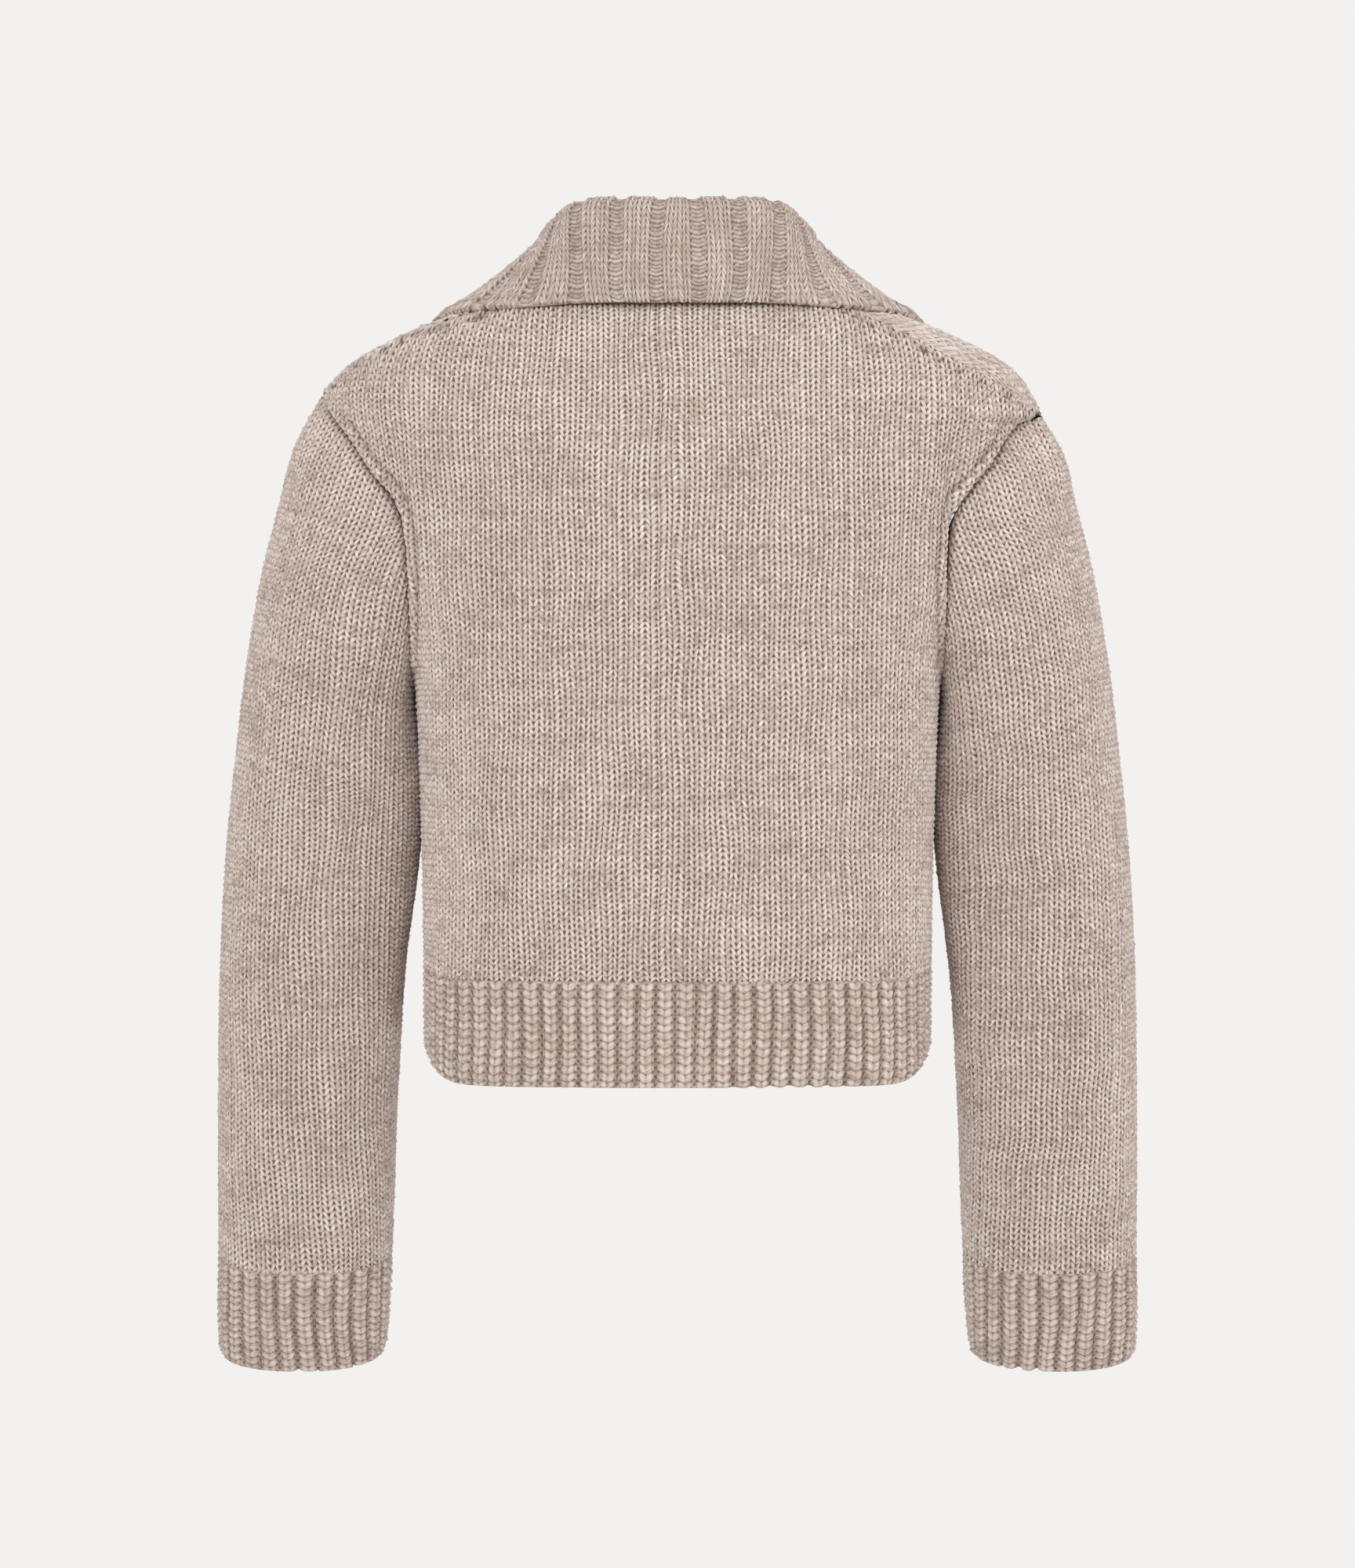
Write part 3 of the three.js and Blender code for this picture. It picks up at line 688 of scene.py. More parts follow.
@dataclass(frozen=True)
class Stitch:
    """One repeat of a knitted fabric across its wales, as columns of the mesh.

    Attributes:
        width: Width of the repeat.
        row: Height of a row of stitches.
        slope: How many rows a leg of yarn falls from the edge of its wale to the middle.
        at: Place of each column in the repeat.
        lean: Share of the slope at each column.
        crest: Height of the face at each column, along the top of a leg.
        gap: Height of the face at each column, between two legs.
        purl: 1 on the purl side of the fabric, 0 on the knit side.
        wale: Place of each column counted in wales.
        wales: Wales in the repeat.
    """

    width: float
    row: float
    slope: float
    at: tuple[float, ...]
    lean: tuple[float, ...]
    crest: tuple[float, ...]
    gap: tuple[float, ...]
    purl: tuple[float, ...]
    wale: tuple[float, ...]
    wales: float


def stockinette(wale: float, row: float, relief: float) -> Stitch:
    """Plain knitting, with two legs of yarn to each wale."""
    return Stitch(
        width=wale,
        row=row,
        slope=0.95,
        at=(0, wale / 4, wale / 2, wale * 3 / 4),
        lean=(0, 0.5, 1, 0.5),
        crest=tuple(relief * h for h in (-0.2, 0.65, -0.2, 0.65)),
        gap=tuple(relief * h for h in (-0.95, 0.15, -0.95, 0.15)),
        purl=(0, 0, 0, 0),
        wale=(0, 0.25, 0.5, 0.75),
        wales=1,
    )


def single_rib(pitch: float, row: float, relief: float, depth: float) -> Stitch:
    """A rib of one knit wale and one sunken purl wale."""
    knit = pitch * 0.75
    sunk = pitch - knit
    return Stitch(
        width=pitch,
        row=row,
        slope=0.38,
        at=(0, knit / 4, knit / 2, knit * 3 / 4, knit, knit + sunk * 0.3, knit + sunk * 0.7),
        lean=(0, 0.5, 1, 0.5, 0, 0, 0),
        crest=(-0.4, relief, relief * 0.45, relief, -0.4, -depth + 0.5, -depth + 0.5),
        gap=(-1.3, -0.1, -0.6, -0.1, -1.3, -depth - 0.3, -depth - 0.3),
        purl=(0, 0, 0, 0, 0, 1, 1),
        wale=(0, 0.25, 0.5, 0.75, 1, 1.35, 1.65),
        wales=2,
    )


def wide_rib(wale: float, ladder: float, row: float, relief: float, depth: float) -> Stitch:
    """The collar's rib: three knit wales, then one sunken purl wale like a ladder."""
    start = 1.5 * wale  # a group of knit wales is centred on the middle
    knit_at = [start + ladder + wale * i / 4 for i in range(12)]
    lean = [0, 0.5, 1, 0.5] * 3
    crest = [-0.35, 0.65, -0.35, 0.65] * 3
    gap = [-0.75, 0.4, -0.75, 0.4] * 3
    return Stitch(
        width=ladder + 3 * wale,
        row=row,
        slope=-1.5,
        at=(*(start + ladder * share for share in (0, 0.27, 0.5, 0.73)), *knit_at),
        lean=(0, 0, 0, 0, *lean),
        crest=(-0.9, -depth, -depth + 0.2, -depth, *(relief * h for h in crest)),
        gap=(-1.5, -depth - 0.6, -depth - 0.4, -depth - 0.6, *(relief * h for h in gap)),
        purl=(0, 1, 1, 1, *([0] * 12)),
        wale=(0, 0.27, 0.5, 0.73, *(1 + i / 4 for i in range(12))),
        wales=4,
    )


@dataclass
class Net:
    """Points of a net on a chart, each with what the mesh needs to know of it."""

    across: Array
    down: Array
    height: Array
    inside: Array
    wale: Array
    row: Array
    purl: Array

    NAMES = ("across", "down", "height", "inside", "wale", "row", "purl")


def written(bm: bmesh.types.BMesh, name: str) -> bpy.types.Mesh:
    """Turns a working mesh into a mesh and frees it."""
    mesh = bpy.data.meshes.new(name)
    bm.to_mesh(mesh)
    bm.free()
    return mesh


def show(name: str, data: bpy.types.ID) -> bpy.types.Object:
    """Puts a mesh, a lamp or a camera in the scene."""
    item = bpy.data.objects.new(name, data)
    bpy.context.scene.collection.objects.link(item)
    return item


def grid_mesh(columns: int, rows: int) -> tuple[bpy.types.Mesh, Array, Array]:
    """Makes a flat grid, and says which column and row each of its points is in."""
    bm = bmesh.new()
    bmesh.ops.create_grid(bm, x_segments=columns - 1, y_segments=rows - 1, size=1.0)
    mesh = written(bm, "net")
    points = np.empty(len(mesh.vertices) * 3)
    mesh.vertices.foreach_get("co", points)
    points = points.reshape(-1, 3)
    column = np.rint((points[:, 0] + 1) / 2 * (columns - 1)).astype(int)
    row = np.rint((1 - points[:, 1]) / 2 * (rows - 1)).astype(int)
    return mesh, column, row


def write_net(mesh: bpy.types.Mesh, net: Net) -> None:
    """Lays the mesh out flat as a net and stores the net's values with its points."""
    flat = np.stack([net.across, net.down, -net.inside], axis=1)
    mesh.vertices.foreach_set("co", flat.astype(np.float32).ravel())
    for name in Net.NAMES:
        layer = mesh.attributes.new(name, "FLOAT", "POINT")
        layer.data.foreach_set("value", getattr(net, name).astype(np.float32))


def read_net(mesh: bpy.types.Mesh) -> Net:
    """Reads a net's values back from the mesh."""
    values = {}
    for name in Net.NAMES:
        values[name] = np.empty(len(mesh.vertices), np.float32)
        mesh.attributes[name].data.foreach_get("value", values[name])
    return Net(**{name: value.astype(float) for name, value in values.items()})


def corner_points(mesh: bpy.types.Mesh) -> Array:
    """The point at every corner of every face."""
    corners = np.empty(len(mesh.loops), np.int32)
    mesh.loops.foreach_get("vertex_index", corners)
    return corners


@dataclass
class KnitPiece:
    """A knitted piece: a closed thin shell whose outer face is a net of stitches.

    Attributes:
        name: Name of the piece.
        node: The solid that it replaces.
        chart: The face that it lies on.
        sides: The turns of its left and right edges at each level.
        stitch: How it is knitted.
        wall: Thickness of the cloth.
        slot: The finish's slot; not used.
        finish: The wool.
        held: How it is held; not used.
        welts: Raised and sunk lines along its edges.
        folds: Soft folds that it takes part in.
        seed: Seed of its uneven stitches.
        inner_pitch: Size of the hidden face's meshes.
        uneven: How uneven the stitches are, in millimetres.
    """

    name: str
    node: str
    chart: Chart
    sides: Sides
    stitch: Stitch
    wall: float
    slot: str
    finish: bpy.types.Material
    held: str = "draped"
    welts: tuple[Welt, ...] = ()
    folds: tuple[Fold, ...] = ()
    seed: int = 1
    inner_pitch: float = 6.0
    uneven: float = 0.24

    STRIP = 4.0  # width of the strip between the edge wall and the hidden face's net
    FADE = 9.0  # length over which a welt dies away at its ends
    EDGE_SAMPLES = 201  # points at which an edge's slant is measured
    CHAIN = (0.8, 0.35)  # height of a chain's stitches: the mean and the swing
    GAP_SHARE = 0.6  # of the unevenness, in the height between two legs
    ROW_SHARE, ACROSS_SHARE, DOWN_SHARE = 0.5, 0.6, 0.4  # of rows and of single points
    TOP_DEPTH = 0.25  # share of a gap's depth that is left at the top edge
    SIDE_DEPTH = -0.5  # height of the face along its side edges
    SWAY, RISE = 0.35, 0.45  # of the slow waves in the wales and in the rows
    WAVES = (38.0, 61.0, 97.0, 143.0)  # their lengths
    HOLLOW_FROM, HOLLOW_SPAN = 0.8, 3.2  # depth at which a gap starts to get painted shade, and how fast it deepens

    def _columns(self) -> dict[str, Array]:
        """Places and heights of all columns that the widest level needs."""
        left, right = self._limits(self.chart.down)
        first, last = left.min(), right.max()
        stitch = self.stitch
        start, stop = math.floor(first / stitch.width) - 1, math.ceil(last / stitch.width) + 1
        repeat = np.repeat(np.arange(start, stop), len(stitch.at))
        count = stop - start
        tiled = {
            name: np.tile(np.array(getattr(stitch, name), float), count)
            for name in ("at", "lean", "crest", "gap", "purl", "wale")
        }
        tiled["at"] = tiled["at"] + repeat * stitch.width
        tiled["wale"] = tiled["wale"] + repeat * stitch.wales
        inside = (tiled["at"] > first - stitch.width) & (tiled["at"] < last + stitch.width)
        return {name: values[inside] for name, values in tiled.items()}

    def _limits(self, down: Array) -> tuple[Array, Array]:
        """The piece's left and right edges, in millimetres across, at lengths down it."""
        level = self.chart.level(down)
        low, high = self.sides(level)
        return self.chart.reach(level, low), self.chart.reach(level, high)

    def _outer(self) -> tuple[bpy.types.Mesh, Array]:
        """Makes the net of the face that shows, and says which of its faces to drop."""
        stitch, length = self.stitch, self.chart.down[-1]
        columns = self._columns()
        rows = round(length / stitch.row)
        pitch = length / rows
        lead = math.ceil(2 * abs(stitch.slope))
        start = -lead if stitch.slope > 0 else 0
        stop = 2 * rows if stitch.slope > 0 else 2 * rows + lead
        steps = np.arange(start, stop + 1)
        mesh, column, row = grid_mesh(len(columns["at"]), len(steps))
        rng = np.random.default_rng(self.seed)
        across = columns["at"][column]
        step = steps[row]
        down = (step / 2 + stitch.slope * columns["lean"][column]) * pitch
        is_crest = step % 2 == 1
        height = np.where(is_crest, columns["crest"][column], columns["gap"][column])
        share = np.where(is_crest, 1.0, self.GAP_SHARE)
        height = height + rng.normal(0, self.uneven, len(height)) * share
        sway, rise = self._wander(rng, across, down)
        sway += rng.normal(0, self.uneven, len(columns["at"]))[column]
        rise += rng.normal(0, self.uneven * self.ROW_SHARE, len(steps))[row]
        across = across + sway + rng.normal(0, self.uneven * self.ACROSS_SHARE, len(across))
        down = down + rise + rng.normal(0, self.uneven * self.DOWN_SHARE, len(down))
        above, below = down <= 0, down >= length
        down = np.clip(down, 0, length)
        left, right = self._limits(down)
        before, after = across <= left, across >= right
        across = np.clip(across, left, right)
        edge = above | below | before | after
        height = np.where(above | below, 0.0, np.where(edge, self.SIDE_DEPTH, height))
        depth = np.clip(self.TOP_DEPTH + down / stitch.row, 0, 1)
        height = np.where(height < 0, height * depth, height)
        order = np.argsort(columns["at"])
        wale = np.interp(across - sway, columns["at"][order], columns["wale"][order])
        purl = columns["purl"][column]
        net = Net(across, down, height, np.zeros(len(across)), wale, (down - rise) / pitch, purl)
        write_net(mesh, net)
        corners = corner_points(mesh).reshape(-1, 4)
        drop = np.zeros(len(corners), bool)
        for mask in (above, below, before, after):
            drop |= mask[corners].all(axis=1)
        return mesh, np.flatnonzero(drop)

    def _wander(self, rng: np.random.Generator, across: Array, down: Array) -> tuple[Array, Array]:
        """How far wales sway and rows rise and fall, since no hand or body keeps them straight."""
        shifts = []
        for amount in (self.SWAY, self.RISE):
            shift = np.zeros(len(across))
            for length in self.WAVES:
                way, start = rng.uniform(0, 2 * math.pi, 2)
                place = (across * math.cos(way) + down * math.sin(way)) / length
                shift += amount * np.sin(2 * math.pi * place + start)
            shifts.append(shift)
        return shifts[0], shifts[1]

    def _inner(self) -> bpy.types.Mesh:
        """Makes the plainer net of the hidden face."""
        length = self.chart.down[-1]
        left, right = self._limits(self.chart.down)
        width = (right - left).max()
        columns = max(3, round(width / self.inner_pitch) + 1)
        rows = max(2, round(length / self.inner_pitch) + 1)
        mesh, column, row = grid_mesh(columns, rows)
        down = self.STRIP + row / (rows - 1) * (length - 2 * self.STRIP)
        left, right = self._limits(down)
        left, right = left + self.STRIP, right - self.STRIP
        across = left + (right - left) * column / (columns - 1)
        zero = np.zeros(len(across))
        wale = across / self.stitch.width * self.stitch.wales
        net = Net(across, down, zero, zero + 1, wale, down / self.stitch.row, zero + 1)
        write_net(mesh, net)
        return mesh

    def _relief(self, net: Net) -> tuple[Array, Array]:
        """How high the welts along the edges stand at each point, and how much painted shade they
        get.
        """
        samples = np.linspace(0, self.chart.down[-1], self.EDGE_SAMPLES)
        away = {Edge.BOTTOM: self.chart.down[-1] - net.down}
        length = {Edge.BOTTOM: net.across}
        for edge, inwards, limit, edges in zip(
            (Edge.LEFT, Edge.RIGHT), (1, -1), self._limits(net.down), self._limits(samples)
        ):
            slant = np.hypot(1, np.gradient(edges, samples))
            so_far = np.concatenate([[0], np.cumsum((slant[1:] + slant[:-1]) / 2)]) * samples[1]
            away[edge] = (net.across - limit) * inwards / np.interp(net.down, samples, slant)
            length[edge] = np.interp(net.down, samples, so_far)
        height = np.zeros(len(net.across))
        dark = np.zeros(len(net.across))
        for welt in self.welts:
            along = net.across if welt.edge is Edge.BOTTOM else net.down
            near = np.exp(-(((away[welt.edge] - welt.inset) * 2 / welt.width) ** 2))
            near *= np.clip((along - welt.span[0]) / self.FADE, 0, 1)
            near *= np.clip((welt.span[1] - along) / self.FADE, 0, 1)
            wave, pit = 1.0, 1.0
            if welt.chain:
                swing = np.sin(2 * math.pi * length[welt.edge] / welt.chain)
                wave = self.CHAIN[0] + self.CHAIN[1] * swing
                pit = np.clip(-swing, 0, 1) ** 2
            height += welt.height * near * wave
            # painted shade, strongest in the chain's holes
            dark += welt.dark * near * pit
        return height, dark

    def build(self) -> None:
        outer, drop = self._outer()
        inner = self._inner()
        bm = bmesh.new()
        bm.from_mesh(outer)
        bm.faces.ensure_lookup_table()
        bmesh.ops.delete(bm, geom=[bm.faces[i] for i in drop], context="FACES")
        loose = [vert for vert in bm.verts if not vert.link_faces]
        bmesh.ops.delete(bm, geom=loose, context="VERTS")
        self._close(bm, inner)
        mesh = written(bm, self.name)
        for used in (outer, inner):
            bpy.data.meshes.remove(used)
        net = read_net(mesh)
        relief, dark = self._relief(net)
        self._shape(mesh, net, relief)
        self._stitch_map(mesh, net, dark)
        piece = show(self.name, mesh)
        mesh.materials.append(self.finish)
        mesh.shade_smooth()
        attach(piece, "root")
        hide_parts(self.node)
        LOG.info("%s: %d faces", self.name, len(mesh.polygons))

    def _close(self, bm: bmesh.types.BMesh, inner: bpy.types.Mesh) -> None:
        """Gives the net an edge wall and joins it to the plainer net of the hidden face."""
        layer = bm.verts.layers.float["inside"]
        for _ in ("wall", "strip"):
            rim = [edge for edge in bm.edges if edge.is_boundary]
            made = bmesh.ops.extrude_edge_only(bm, edges=rim)["geom"]
            foot = [item for item in made if isinstance(item, bmesh.types.BMVert)]
            for vert in foot:
                vert[layer] = 1.0
                vert.co.z = -1.0
        known = set(bm.verts)
        bm.from_mesh(inner)
        border = [vert for vert in bm.verts if vert.is_boundary and vert not in known]
        tree = kdtree.KDTree(len(border))
        for i, vert in enumerate(border):
            tree.insert(vert.co, i)
        tree.balance()
        nearest = {vert: border[tree.find(vert.co)[1]] for vert in foot}
        bmesh.ops.weld_verts(bm, targetmap=nearest)
        bmesh.ops.recalc_face_normals(bm, faces=bm.faces)

    def _shape(self, mesh: bpy.types.Mesh, net: Net, relief: Array) -> None:
        """Moves every point to its place on the chart, with relief, folds and thickness."""
        points, normals = self.chart.place(net.across, net.down)
        inside = net.inside > 0.5
        height = np.where(inside, -self.wall, net.height + relief)
        for fold in self.folds:
            height += fold.lift(points)
        points = points + normals * height[:, None]
        mesh.vertices.foreach_set("co", (points * MM).astype(np.float32).ravel())
        mesh.update()
        facing = np.empty(len(mesh.polygons) * 3, np.float32)
        mesh.polygons.foreach_get("normal", facing)
        first = np.empty(len(mesh.polygons), np.int32)
        mesh.polygons.foreach_get("loop_start", first)
        start = corner_points(mesh)[first]
        shown = ~inside[start]
        if (facing.reshape(-1, 3)[shown] * normals[start][shown]).sum() < 0:
            mesh.flip_normals()

    def _stitch_map(self, mesh: bpy.types.Mesh, net: Net, dark: Array) -> None:
        """Gives the material a UV map of wales across and rows down, and the painted shade of deep
        gaps and welts.
        """
        corners = corner_points(mesh)
        flat = np.stack([net.wale[corners], net.row[corners]], axis=1)
        layer = mesh.uv_layers.new(name="stitches")
        layer.uv.foreach_set("vector", flat.astype(np.float32).ravel())
        # painted shade: deep gaps and the welts' dark lines darken the wool's colour
        hollow_shade = mesh.attributes.new("hollow_shade", "FLOAT", "POINT")
        deep = np.clip((-net.height - self.HOLLOW_FROM) / self.HOLLOW_SPAN, 0, 1)
        hollow_shade.data.foreach_set("value", np.clip(deep + dark, 0, 1).astype(np.float32))
        for name in ("across", "down", "height", "wale", "row"):
            mesh.attributes.remove(mesh.attributes[name])


# ------------------------------------------------------------------ finishes
def linear(code: str) -> tuple[float, float, float, float]:
    """Turns an sRGB hex colour to the linear values that nodes take."""
    parts = [int(code[i : i + 2], 16) / 255 for i in (0, 2, 4)]
    values = [c / 12.92 if c <= 0.04045 else ((c + 0.055) / 1.055) ** 2.4 for c in parts]
    return (values[0], values[1], values[2], 1.0)


def feed(tree: bpy.types.NodeTree, socket: Socket, value: Socket | float | Sequence) -> None:
    """Links a value into a node's input, or sets it there."""
    if isinstance(value, Socket):
        tree.links.new(value, socket)
    else:
        socket.default_value = value


def add_node(
    tree: bpy.types.NodeTree, kind: str, inputs: dict | None = None, **settings: object
) -> bpy.types.Node:
    """Adds a node, sets its properties and fills its inputs."""
    node = tree.nodes.new(kind)
    for name, value in settings.items():
        setattr(node, name, value)
    for key, value in (inputs or {}).items():
        feed(tree, node.inputs[key], value)
    return node


class Surface:
    """A new material, with short ways to add what the finishes share."""

    def __init__(self, name: str) -> None:
        """Makes the material with its one shader."""
        self.material = bpy.data.materials.new(name)
        self.material.use_nodes = True
        self.tree = self.material.node_tree

    def math(self, operation: str, *values: Socket | float) -> Socket:
        """Adds a Math node and gives its result."""
        inputs = dict(enumerate(values))
        return add_node(self.tree, "ShaderNodeMath", inputs, operation=operation).outputs[0]

    def times(self, first: Socket, second: Socket | float, plus: Socket | float = 0.0) -> Socket:
        """Multiplies two values and adds a third."""
        return self.math("MULTIPLY_ADD", first, second, plus)

    def vector(self, *parts: Socket) -> Socket:
        """Joins values into a vector."""
        return add_node(self.tree, "ShaderNodeCombineXYZ", dict(enumerate(parts))).outputs[0]

    def mix(self, share: Socket, first: Socket | Sequence, second: Socket | Sequence) -> Socket:
        """Mixes two colours."""
        inputs = {0: share, 6: first, 7: second}
        return add_node(self.tree, "ShaderNodeMix", inputs, data_type="RGBA").outputs[2]

    def place(self) -> Socket:
        """Gives the object's own coordinates."""
        return add_node(self.tree, "ShaderNodeTexCoord").outputs["Object"]

    def noise(self, vector: Socket, scale: float, detail: float) -> Socket:
        """Adds a noise texture and gives its value."""
        inputs = {"Vector": vector, "Scale": scale, "Detail": detail}
        return add_node(self.tree, "ShaderNodeTexNoise", inputs).outputs["Fac"]

    def bump(self, height: Socket, distance: float, strength: float) -> Socket:
        """Gives the normal of a surface raised by a height map, over a distance in metres."""
        inputs = {"Height": height, "Distance": distance, "Strength": strength}
        return add_node(self.tree, "ShaderNodeBump", inputs).outputs[0]

    def finished(self, inputs: dict) -> bpy.types.Material:
        """Fills the shader's inputs and gives the material."""
        shader = self.tree.nodes["Principled BSDF"]
        for name, value in inputs.items():
            feed(self.tree, shader.inputs[name], value)
        return self.material


@dataclass(frozen=True)
class MarledWool:
    """Chunky marled wool: oatmeal, taupe and near-white fibres twisted into one yarn.

    It looks matt and soft. Single fibres show as short flecks along each leg of yarn, rows
    drift from lighter to darker where the marl changes, and painted shade darkens the gaps between
    legs.
    """

    name: str
    slope: float  # rows that a leg falls, as in the stitch
    valley: float = 0.25  # painted shade on the line between two columns of legs
    below: float = 0.12  # painted shade between a leg and the one below it
    pit: float = 1.8  # more painted shade where both meet, times a chance share at each stitch
    thin: float = 0.8  # smaller for thinner lines of painted shade between legs, so that the legs look plumper
    bars: float = 1.0  # purl bars to a row
    bow: float = 0.12  # how far a bar's ends rise, in bars
    lift: float = 0.0  # how far the bars sit from the middle of a row, in bars
    seam: float = 0.4  # painted shade between two purl bars
    ends: float = 0.4  # more painted shade at the ends of the line between them
    light: str = "F8ECE5"
    middle: str = "E4D2C8"
    dark: str = "B49F94"
    # the colour that painted shade darkens the wool towards, in gaps, grooves and hollows
    gap: str = "624B40"
    hollow_shade: float = 1.1  # painted shade of a deep gap
    darkest: float = 0.92  # most painted shade that any gap can take
    relief: float = 0.9  # millimetres of bump

    # gain and base of a leg's height along it and across it, and how plump it is
    ALONG, ACROSS, PLUMP = (0.6, 0.4), (0.85, 0.15), (0.5, 0.8)
    EDGE_SHARP = 1.6  # larger for a narrower line of painted shade between two columns of legs
    BAR_PLUMP, SEAM_SHARP = 0.7, 1.3
    CHANCE = (0.9, 0.15)  # of a pit's painted shade: the share that differs from stitch to stitch, and the least
    FIBRE = (1.6, 5.0, 3.7)  # fibres across and along a leg, and a shift from leg to leg
    DRIFT = (0.22, 0.55)  # how fast the marl changes from wale to wale and from row to row
    PATCH = 33.0  # scale of patches about 30 mm across
    FIBRE_HEIGHT, BUMP = 0.25, 0.9  # height of the fibres on a leg, and strength of the bump

    def _legs(
        self, surface: Surface, half: Socket, fallen: Socket, chance: Socket
    ) -> tuple[Socket, Socket]:
        """The height and the painted shade of the knit side's slanted legs."""
        math_node, times = surface.math, surface.times
        wave = math_node("SINE", times(math_node("FRACT", fallen), math.pi))
        swing = math_node("MAXIMUM", math_node("SINE", times(half, math.pi)), 0.0)
        height = times(
            times(math_node("POWER", wave, self.PLUMP[0]), *self.ALONG),
            times(math_node("POWER", swing, self.PLUMP[1]), *self.ACROSS),
        )
        edge = math_node("SUBTRACT", 1.0, math_node("POWER", swing, self.EDGE_SHARP))
        line = math_node("SUBTRACT", 1.0, math_node("POWER", wave, self.thin))
        deep = times(chance, *(self.pit * share for share in self.CHANCE))
        shade = times(line, self.below, times(times(edge, line), deep))
        return height, times(times(edge, edge), self.valley, shade)

    def _bars(self, surface: Surface, wale: Socket, row: Socket) -> tuple[Socket, Socket]:
        """The height and the painted shade of the purl side's bars, which bow between their ends.
        """
        math_node, times = surface.math, surface.times
        bow = math_node("COSINE", times(wale, 2 * math.pi))
        place = times(bow, self.bow, times(row, self.bars, self.lift))
        wave = math_node("ABSOLUTE", math_node("SINE", times(place, math.pi)))
        height = math_node("POWER", wave, self.BAR_PLUMP)
        line = math_node("POWER", math_node("SUBTRACT", 1.0, height), self.SEAM_SHARP)
        return height, times(line, times(math_node("MAXIMUM", bow, 0.0), self.ends, self.seam))

    def _marl(
        self, surface: Surface, stitch: tuple[Socket, Socket], leg: tuple[Socket, ...]
    ) -> tuple[Socket, Socket]:
        """The yarn's colour at each stitch, and the fibres for the bump."""
        times = surface.times
        wale, row = stitch
        half, fallen, number, chance = leg
        along_leg = surface.vector(*map(times, (half, fallen, number), self.FIBRE))
        along_row = surface.vector(*map(times, (wale, row), self.DRIFT))
        fibre = surface.noise(along_leg, 1.0, 3.0)
        marl = 0.5
        for noise, share in (
            (fibre, 2.2),
            (surface.noise(along_row, 1.0, 2.0), 0.6),  # rows that drift
            (surface.noise(surface.place(), self.PATCH, 1.0), 0.4),
            (chance, 0.45),  # single stitches
        ):
            marl = times(surface.math("SUBTRACT", noise, 0.5), share, marl)
        ramp = add_node(surface.tree, "ShaderNodeValToRGB", {0: marl})
        stops = ramp.color_ramp.elements
        stops[0].color, stops[1].color = linear(self.dark), linear(self.light)
        stops.new(0.5).color = linear(self.middle)
        return ramp.outputs[0], fibre

    def make(self) -> bpy.types.Material:
        """Builds the material from the map of wales and rows."""
        surface = Surface(self.name)
        tree, math_node, times = surface.tree, surface.math, surface.times
        counted = add_node(tree, "ShaderNodeUVMap", uv_map="stitches").outputs[0]
        wale, row, _ = add_node(tree, "ShaderNodeSeparateXYZ", {0: counted}).outputs
        purl, inside, hollow_shade = (
            add_node(tree, "ShaderNodeAttribute", attribute_name=name).outputs["Fac"]
            for name in ("purl", "inside", "hollow_shade")
        )
        is_purl = math_node("MAXIMUM", purl, math_node("GREATER_THAN", inside, 0.5))
        half = times(math_node("PINGPONG", wale, 0.5), 2.0)
        fallen = times(half, -self.slope, row)
        number = math_node("FLOOR", times(wale, 2.0))
        stitch = surface.vector(number, math_node("FLOOR", fallen))
        chance = add_node(tree, "ShaderNodeTexWhiteNoise", {"Vector": stitch}).outputs[0]
        knit, bar = self._legs(surface, half, fallen, chance), self._bars(surface, wale, row)
        height, shade = (
            add_node(
                tree, "ShaderNodeMix", {0: is_purl, 2: first, 3: second}, data_type="FLOAT"
            ).outputs[0]
            for first, second in zip(knit, bar)
        )
        colour, fibre = self._marl(surface, (wale, row), (half, fallen, number, chance))
        # painted shade: the gaps between legs and bars, deep gaps and welt lines mix the colour
        # towards the gap colour
        shade = math_node("MINIMUM", times(hollow_shade, self.hollow_shade, shade), self.darkest)
        return surface.finished(
            {
                "Base Color": surface.mix(shade, colour, linear(self.gap)),
                "Normal": surface.bump(
                    times(fibre, self.FIBRE_HEIGHT, height), self.relief * MM, self.BUMP
                ),
                "Roughness": 0.95,
                "Specular IOR Level": 0.2,
                "Sheen Weight": 0.15,
                "Sheen Roughness": 0.5,
            }
        )


@dataclass(frozen=True)
class Horn:
    """Satin horn-coloured polyester, cast and polished: brown with soft pale streaks."""

    name: str = "horn_polyester"
    light: str = "8E7461"
    dark: str = "43322A"

    def make(self) -> bpy.types.Material:
        """Builds the material with streaks that run across the button."""
        surface = Surface(self.name)
        place = surface.place()
        inputs = {"Vector": place, "Scale": (60.0, 60.0, 220.0)}
        stretched = add_node(surface.tree, "ShaderNodeMapping", inputs).outputs[0]
        streak = surface.noise(stretched, 1.0, 4.0)
        return surface.finished(
            {
                "Base Color": surface.mix(streak, linear(self.dark), linear(self.light)),
                "Normal": surface.bump(surface.noise(place, 900.0, 2.0), 0.00005, 0.3),
                "Roughness": 0.38,
            }
        )


